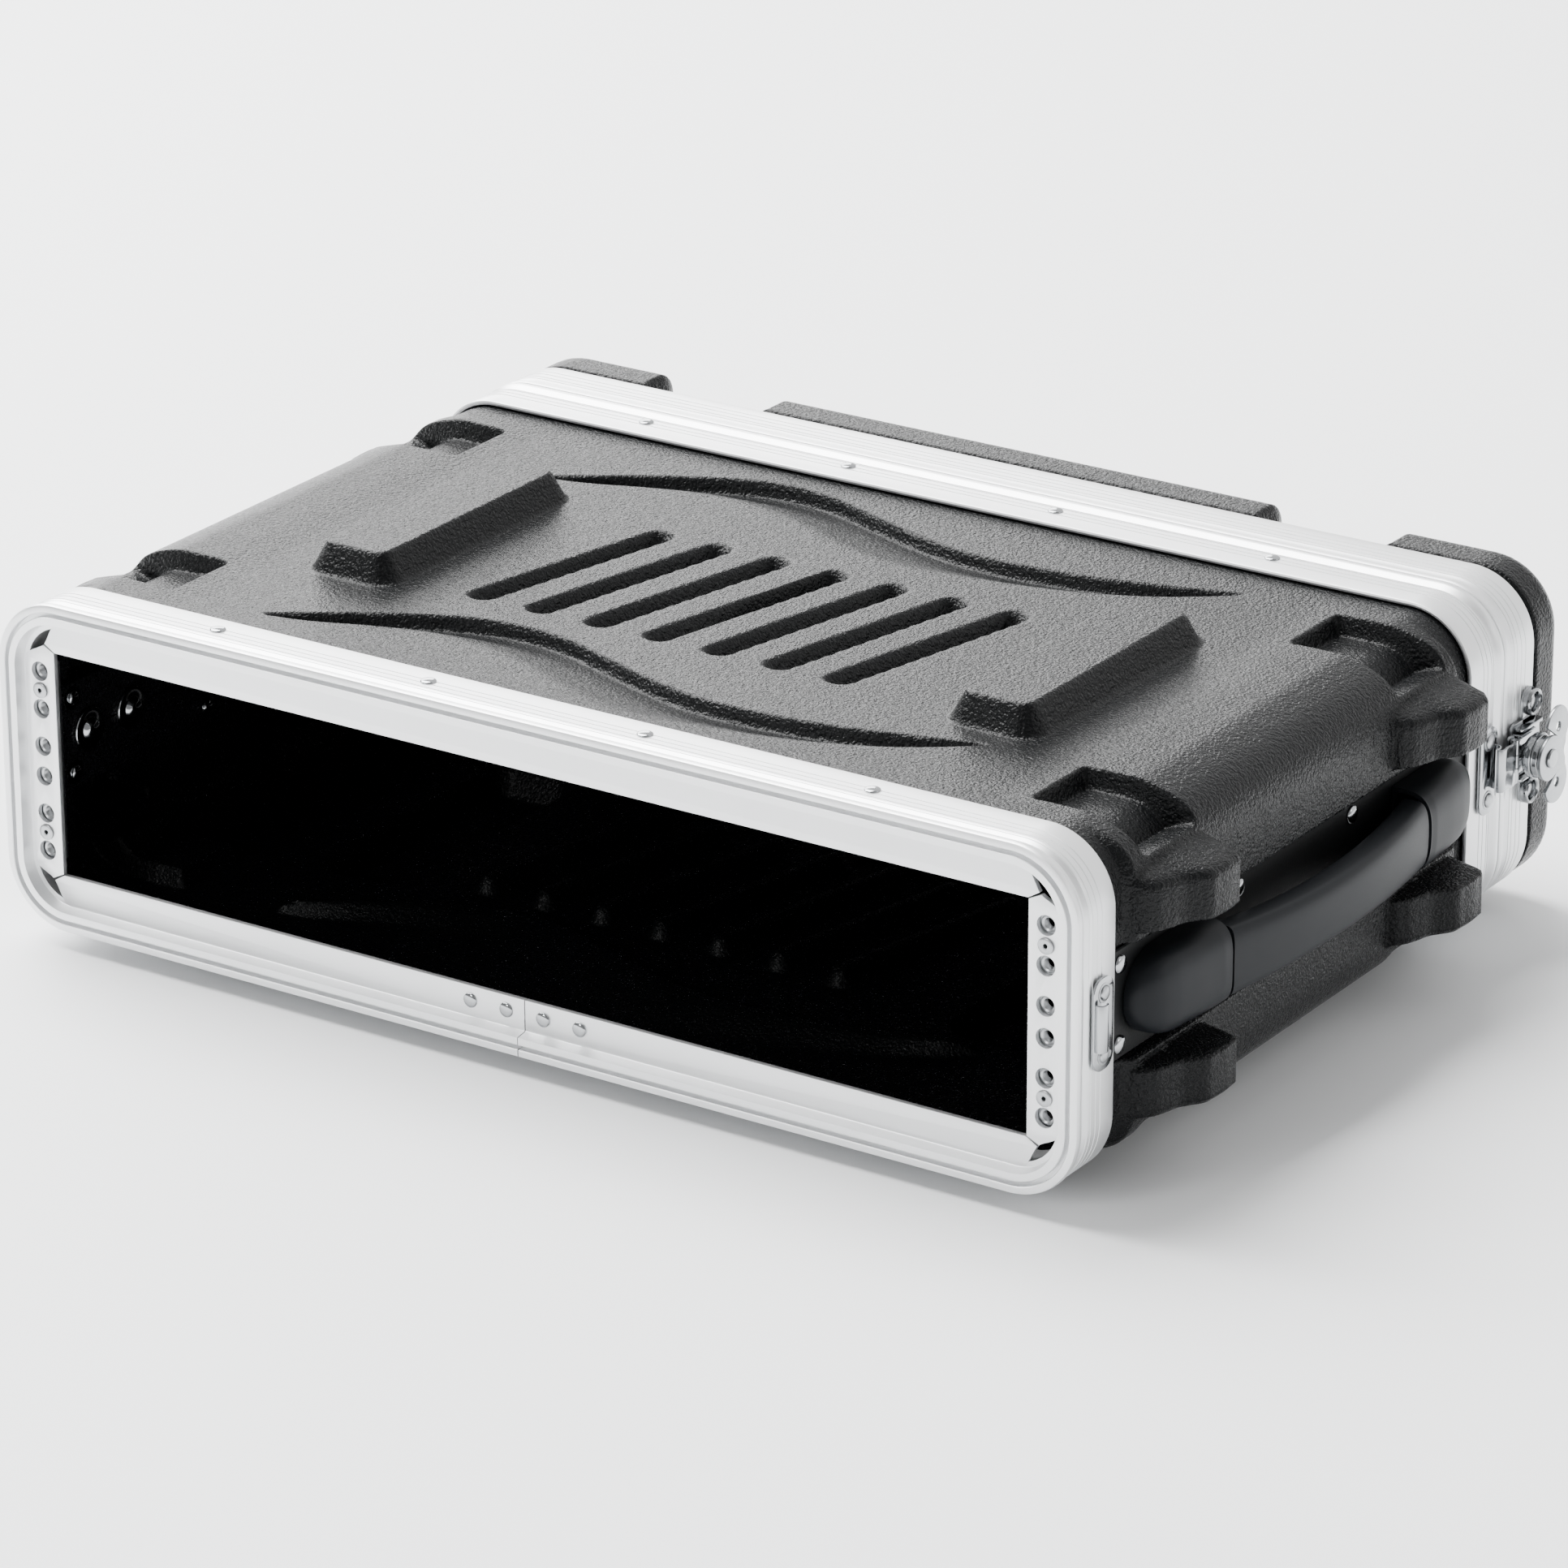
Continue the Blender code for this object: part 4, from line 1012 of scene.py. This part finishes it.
def eyelet_ring(rim, side, y, z):
    """A raised ring about an axis across the case."""
    rows = []
    for radius, out in rim:
        ring = []
        for i in range(32):
            a = 2 * math.pi * i / 32
            ring.append((side * (250.6 + out), y + radius * math.cos(a), z + radius * math.sin(a)))
        rows.append(ring)
    return skin(rows, closed=True)


def slide_parts(label, side, span):
    """The slide with its slot, its guide flange and its hinge knuckle."""
    outline = rounded_rect(12.6, 9.4, 1.2, 4, (328.8, 0))
    slot = rounded_rect(9.0, 3.1, 3.05, 6, (SPINDLE_Y + 2.5, 0))
    parts = [flat_plate([outline, slot], *span(251.2, 252.4), "X", 0.2)]
    low, high = span(252.2, 255.4)
    parts.append(flat_plate([[(low, 320), (high, 321), (high, 333), (low, 334)]], 8.2, 9.4, "Z", 0.2))
    hx, hy = CLAW_HINGE
    low, high = span(252.2, hx)
    parts.append(block((low, 316.2, -2.6), (high, 318.4, 2.6)))
    parts.append(rod((side * hx, hy, -2.6), (side * hx, hy, 2.6), 1.7))
    body = f"latch_slide_{label}"
    add_piece(f"latch_draw_plate_{label}", merged(parts), body, "bright_steel", [body], angle=35)


def claw_parts(label, side):
    """The claw: a bent strip from its hinge over the keeper's lip."""
    hx, hy = CLAW_HINGE
    over = [(-0.2, 0.9), (1.3, 1.2), (1.9, 2.6), (1.9, 5.5), (1.6, 8.0), (1.9, 10.5), (1.8, 12.4)]
    over += [(1.2, 13.5), (0.4, 14.0), (-0.5, 13.9)]
    under = [(-0.5, 13.0), (0.2, 12.9), (0.7, 12.2), (0.8, 10.5), (0.5, 8.0), (0.8, 5.5), (0.8, 3.2)]
    under += [(0.2, 2.3)]
    outline = [(side * (hx + out), hy - forward) for out, forward in over + under]
    parts = [flat_plate([outline], -9.0, 9.0, "Z", 0.25)]
    for low, high in ((3.0, 9.0), (-9.0, -3.0)):
        parts.append(rod((side * hx, hy, low), (side * hx, hy, high), 1.7))
    body = f"latch_claw_{label}"
    add_piece(f"latch_hook_{label}", merged(parts), body, "bright_steel", [body], angle=35)


def cam_and_wing(label, side, span):
    """The cam discs on their spindle and the butterfly wing riveted to it."""
    start = (side * 251.2, SPINDLE_Y, 0)
    profile = [(2.5, 0), (2.5, 4.6), (7.6, 4.7), (7.8, 5.0), (7.8, 6.4), (9.2, 6.5), (9.4, 6.8), (9.4, 8.8)]
    profile += [(9.1, 9.1), (8.2, 9.2), (8.0, 9.6), (8.6, 10.0), (8.6, 11.6), (8.3, 12.0), (2.6, 12.1)]
    profile += [(2.6, 14.3), (3.9, 14.35), (3.9, 14.7), (3.5, 15.2), (2.4, 15.4), (0.02, 15.4)]
    body = f"latch_wing_{label}"
    cam = turned(profile, start, (side, 0, 0), 48)
    add_piece(f"latch_cam_{label}", cam, body, "bright_steel", [f"latch_spindle_{label}"], angle=35)
    holes = [circle(SPINDLE_Y + 5.5, z, 2.0, 28) for z in (11.8, -11.8)] + [circle(SPINDLE_Y, 0, 2.9, 28)]
    wing = flat_plate([butterfly(), *holes], *span(WING_FACE, WING_FACE + 1.5), "X", 0.35)
    add_piece(f"latch_butterfly_{label}", wing, body, "rail_steel", [f"latch_wing_{label}"], angle=35)


# ---------------------------------------------------------------- handles


def bow(y, low, high, ends, middle):
    """How far out an arc through both ends and the middle is at y."""
    half = (high - low) / 2
    rise = middle - ends
    radius = (half * half + rise * rise) / (2 * rise)
    return middle - radius + math.sqrt(max(radius * radius - (y - (low + high) / 2) ** 2, 0))


def grip_mesh(side):
    """A bowed bar of soft section, its ends curved across the way its caps are."""
    rows = []
    low, high = GRIP_ENDS
    for i in range(49):
        y = low + (high - low) * i / 48
        share = abs(2 * i / 48 - 1)
        tall = 12.2 + 1.9 * share ** 2
        outer = bow(y, low, high, 263.6, 271.0)
        inner = bow(y, low, high, 250.4, 257.6)
        ring = []
        for j in range(40):
            a = 2 * math.pi * j / 40
            c, s = math.cos(a), math.sin(a)
            flat = 0.48 if c > 0 else 0.4
            u = math.copysign(abs(c) ** flat, c)
            v = math.copysign(abs(s) ** 0.62, s)
            bend = 1.6 * (1 - v * v) * (1 if i > 24 else -1) * share ** 8
            ring.append((side * ((outer + inner) / 2 + u * (outer - inner) / 2), y + bend, tall * v))
        rows.append(ring)
    return skin(rows)


CAP_PLAN = (
    (30, 247.4), (31.5, 251), (34.5, 255), (39, 258), (46, 260.2), (56, 261.8), (70, 263.2), (82.5, 264.2),
    (84, 264.3),
)


def cap_rows(side, front, shrink):
    """Sections of a handle's cap from its nose to its mouth, shrunk for its hollow."""
    rows = []
    count = 22
    low = 246.9 + shrink * 0.6
    for i in range(count + 1):
        share = i / count
        y = 31.0 + 51.3 * share + shrink * 2.0 * (1 - share)
        nose = min(1.0, (y - 30.6) / 20)
        tall = 17.0 * math.sqrt(max(1 - (1 - nose) ** 2, 0.03)) - shrink
        out = float(smooth_line(CAP_PLAN, np.array(y))) - shrink
        if share > 0.95:
            out -= 0.3
        ring = []
        for j in range(41):
            a = math.pi * j / 40
            v = -math.copysign(abs(math.cos(a)) ** 0.62, math.cos(a))
            u = abs(math.sin(a)) ** 0.5
            bend = -1.6 * (1 - v * v) * share ** 8
            ring.append((side * (low + (out - low) * u), y + bend, tall * v))
        rows.append([(x, yy if front else 2 * MIDDLE - yy, z) for x, yy, z in ring])
    return rows


def cap_mesh(side, front):
    """A hollow cap: outer sections to the mouth and back inside to its end wall."""
    outer = cap_rows(side, front, 0.0)
    inner = cap_rows(side, front, 1.9)
    rows = outer + inner[:9:-1]
    return skin(rows)


def strap_mesh(side):
    """A flat steel strap bent to the grip's bow."""
    section = ((0, -9.3), (0.2, -9.5), (1.4, -9.5), (1.6, -9.3), (1.6, 9.3), (1.4, 9.5), (0.2, 9.5), (0, 9.3))
    rows = []
    for i in range(61):
        y = 60 + (2 * MIDDLE - 120) * i / 60
        low = bow(y, 60, 2 * MIDDLE - 60, 249.7, 263.9)
        rows.append([(side * (low + x), y, z) for x, z in section])
    return skin(rows)


def handle(label, side):
    """One handle: the grip on its strap, the two caps and the bolts inside them."""
    body = f"handle_{label}"
    slot = [(bow(y, 59, 2 * MIDDLE - 59, 249.1, 263.5), y) for y in np.linspace(80, 233, 24)]
    roof = [(bow(y, 59, 2 * MIDDLE - 59, 251.4, 265.9), y) for y in np.linspace(80, 233, 24)]
    hollow = flat_plate([[(side * x, y) for x, y in slot + roof[::-1]]], -9.8, 9.8, "Z", 0.0001)
    replaced = [f"handle_grip_{label}"]
    add_piece(f"grip_{label}", grip_mesh(side), body, "handle_plastic", replaced, angle=50, cuts=[hollow])
    ends = (BOLT_YS[1], 2 * MIDDLE - BOLT_YS[1])
    cuts = [rod((side * 240, y, 0), (side * 262, y, 0), 4.0) for y in ends]
    add_piece(f"strap_{label}", strap_mesh(side), body, "rail_steel", [f"handle_strap_{label}"], cuts=cuts)
    profile = [(2.4, -8.0), (2.4, -0.2), (9.0, -0.2), (9.0, 0.7), (8.7, 1.0), (5.0, 1.15), (4.8, 1.3)]
    profile += [(4.4, 2.4), (3.0, 3.4), (0.02, 3.8)]
    for where, front in (("front", True), ("rear", False)):
        replaced = [f"handle_cap_{label}_{where}"]
        cap = cap_mesh(side, front)
        add_piece(f"cap_{label}_{where}", cap, "case", "handle_plastic", replaced, angle=50)
        for number, y in enumerate(BOLT_YS):
            along = y if front else 2 * MIDDLE - y
            bolt = turned(profile, (side * 239.9, along, 0), (-side, 0, 0), 36)
            replaced = [f"handle_bolt_{label}_{where}_{number + 1}"]
            add_piece(f"bolt_{label}_{where}_{number + 1}", bolt, "case", "bright_steel", replaced, angle=35)


# ---------------------------------------------------------------- stage


AZIMUTH, ELEVATION, ROLL = 33.67, 21.98, -0.23
TARGET = (70.3, 77.2, 35.55)
DISTANCE = 2700.0
LENS = 163.08
SHIFT = (-0.0034, -0.0071)


def put_camera():
    """A long lens from the front right, a little above."""
    turn = math.radians(AZIMUTH)
    rise = math.radians(ELEVATION)
    away = Vector((math.sin(turn) * math.cos(rise), -math.cos(turn) * math.cos(rise), math.sin(rise)))
    camera = bpy.data.cameras.new("studio_camera")
    camera.lens = LENS
    camera.sensor_width = 36.0
    camera.shift_x, camera.shift_y = SHIFT
    camera.clip_end = 50.0
    holder = bpy.data.objects.new("studio_camera", camera)
    holder.location = (Vector(TARGET) + Vector(ORIGIN) + away * DISTANCE) * MM
    roll = Matrix.Rotation(math.radians(ROLL), 3, "Z")
    holder.rotation_euler = (away.to_track_quat("Z", "Y").to_matrix() @ roll).to_euler()
    bpy.context.scene.collection.objects.link(holder)
    bpy.context.scene.camera = holder


def put_light(name, place, aim, size, power):
    light = bpy.data.lights.new(name, "AREA")
    light.shape = "RECTANGLE"
    light.size, light.size_y = size
    light.energy = power
    holder = bpy.data.objects.new(name, light)
    holder.location = place
    holder.rotation_euler = (Vector(place) - Vector(aim)).to_track_quat("Z", "Y").to_euler()
    bpy.context.scene.collection.objects.link(holder)


def set_stage():
    """A pale floor, a soft sky and large soft lights."""
    mesh = bpy.data.meshes.new("studio_floor")
    reach = 14.0
    corners = [(-reach, -reach, 0), (reach, -reach, 0), (reach, reach, 0), (-reach, reach, 0)]
    mesh.from_pydata(corners, [], [(0, 1, 2, 3)])
    mesh.materials.append(painted_floor())
    floor = bpy.data.objects.new("studio_floor", mesh)
    floor.location.z = -0.0004
    bpy.context.scene.collection.objects.link(floor)
    studio_sky()
    put_light("overhead_softbox", (-1.9, 0.2, 2.9), (0, 0, 0), (2.6, 3.4), 520)
    put_light("rear_softbox", (-3.3, 3.4, 1.8), (0, 0, 0.1), (2.6, 1.6), 135)
    put_light("front_softbox", (-0.7, -3.0, 1.3), (0, 0, 0.05), (0.7, 0.5), 22)
    put_light("side_softbox", (3.2, 0.6, 1.4), (0, 0, 0.05), (1.0, 1.0), 12)


def studio_sky():
    """A white room, brighter behind the case than in front of it."""
    world = bpy.data.worlds.new("studio")
    bpy.context.scene.world = world
    world.use_nodes = True
    tree = world.node_tree
    way = add_node(tree, "ShaderNodeTexCoord").outputs["Generated"]
    parts = add_node(tree, "ShaderNodeSeparateXYZ", {"Vector": way})
    bright = add_node(
        tree,
        "ShaderNodeMapRange",
        {"Value": parts.outputs["Y"], "From Min": -0.3, "From Max": 0.7, "To Min": 0.45, "To Max": 1.5},
        interpolation_type="SMOOTHSTEP",
    )
    sky = tree.nodes["Background"]
    sky.inputs["Color"].default_value = (1, 1, 1, 1)
    tree.links.new(bright.outputs[0], sky.inputs["Strength"])


# ---------------------------------------------------------------- add-on


class CASE_OT_shells(bpy.types.Operator):
    """Form the body's upper and lower shells"""

    bl_idname = "case.shells"
    bl_label = "Body shells"

    def execute(self, context):
        body_shell("upper_body_shell", 1, "shell_top")
        body_shell("lower_body_shell", -1, "shell_bottom")
        return {"FINISHED"}


class CASE_OT_strips(bpy.types.Operator):
    """Rivet the joint strips to the sides"""

    bl_idname = "case.strips"
    bl_label = "Joint strips"

    def execute(self, context):
        joint_strips()
        return {"FINISHED"}


class CASE_OT_frames(bpy.types.Operator):
    """Bend the front and rear frames round the body"""

    bl_idname = "case.frames"
    bl_label = "Body frames"

    def execute(self, context):
        body_frames()
        return {"FINISHED"}


class CASE_OT_rails(bpy.types.Operator):
    """Fit the threaded rack rails"""

    bl_idname = "case.rails"
    bl_label = "Rack rails"

    def execute(self, context):
        rack_rails()
        return {"FINISHED"}


class CASE_OT_cover(bpy.types.Operator):
    """Make the rear cover's frame and shell"""

    bl_idname = "case.cover"
    bl_label = "Rear cover"

    def execute(self, context):
        frame_ring("cover_frame_ring", cover_profile(), "cover", "cover_valance", (312, 343))
        cover_shell()
        return {"FINISHED"}


class CASE_OT_keepers(bpy.types.Operator):
    """Rivet the keepers to the body frames"""

    bl_idname = "case.keepers"
    bl_label = "Keepers"

    def execute(self, context):
        keepers()
        return {"FINISHED"}


class CASE_OT_latches(bpy.types.Operator):
    """Fit the butterfly latches to the cover"""

    bl_idname = "case.latches"
    bl_label = "Butterfly latches"

    def execute(self, context):
        latch("right", 1)
        latch("left", -1)
        return {"FINISHED"}


class CASE_OT_handles(bpy.types.Operator):
    """Bolt the strap handles to the sides"""

    bl_idname = "case.handles"
    bl_label = "Strap handles"

    def execute(self, context):
        handle("right", 1)
        handle("left", -1)
        return {"FINISHED"}


class CASE_OT_stage(bpy.types.Operator):
    """Set the floor, the lights and the camera"""

    bl_idname = "case.stage"
    bl_label = "Stage"

    def execute(self, context):
        set_stage()
        put_camera()
        return {"FINISHED"}


OPERATORS = (
    CASE_OT_stage,
    CASE_OT_shells,
    CASE_OT_strips,
    CASE_OT_frames,
    CASE_OT_rails,
    CASE_OT_cover,
    CASE_OT_keepers,
    CASE_OT_latches,
    CASE_OT_handles,
)


class CASE_PT_panel(bpy.types.Panel):
    """Rack case panel in the sidebar"""

    bl_label = "Rack case"
    bl_space_type = "VIEW_3D"
    bl_region_type = "UI"
    bl_category = "Rack case"

    def draw(self, context):
        for group in (context.scene.case_shapes, context.scene.case_colours):
            for name in group.__annotations__:
                self.layout.prop(group, name)
        for operator in OPERATORS:
            self.layout.operator(operator.bl_idname)


CLASSES = (CaseShapes, CaseColours, *OPERATORS, CASE_PT_panel)


def register():
    for made in CLASSES:
        bpy.utils.register_class(made)
    bpy.types.Scene.case_shapes = bpy.props.PointerProperty(type=CaseShapes)
    bpy.types.Scene.case_colours = bpy.props.PointerProperty(type=CaseColours)


def unregister():
    del bpy.types.Scene.case_shapes
    del bpy.types.Scene.case_colours
    for made in reversed(CLASSES):
        bpy.utils.unregister_class(made)


def main():
    register()
    for operator in OPERATORS:
        group, name = operator.bl_idname.split(".")
        getattr(getattr(bpy.ops, group), name)()


if __name__ == "__main__":
    main()
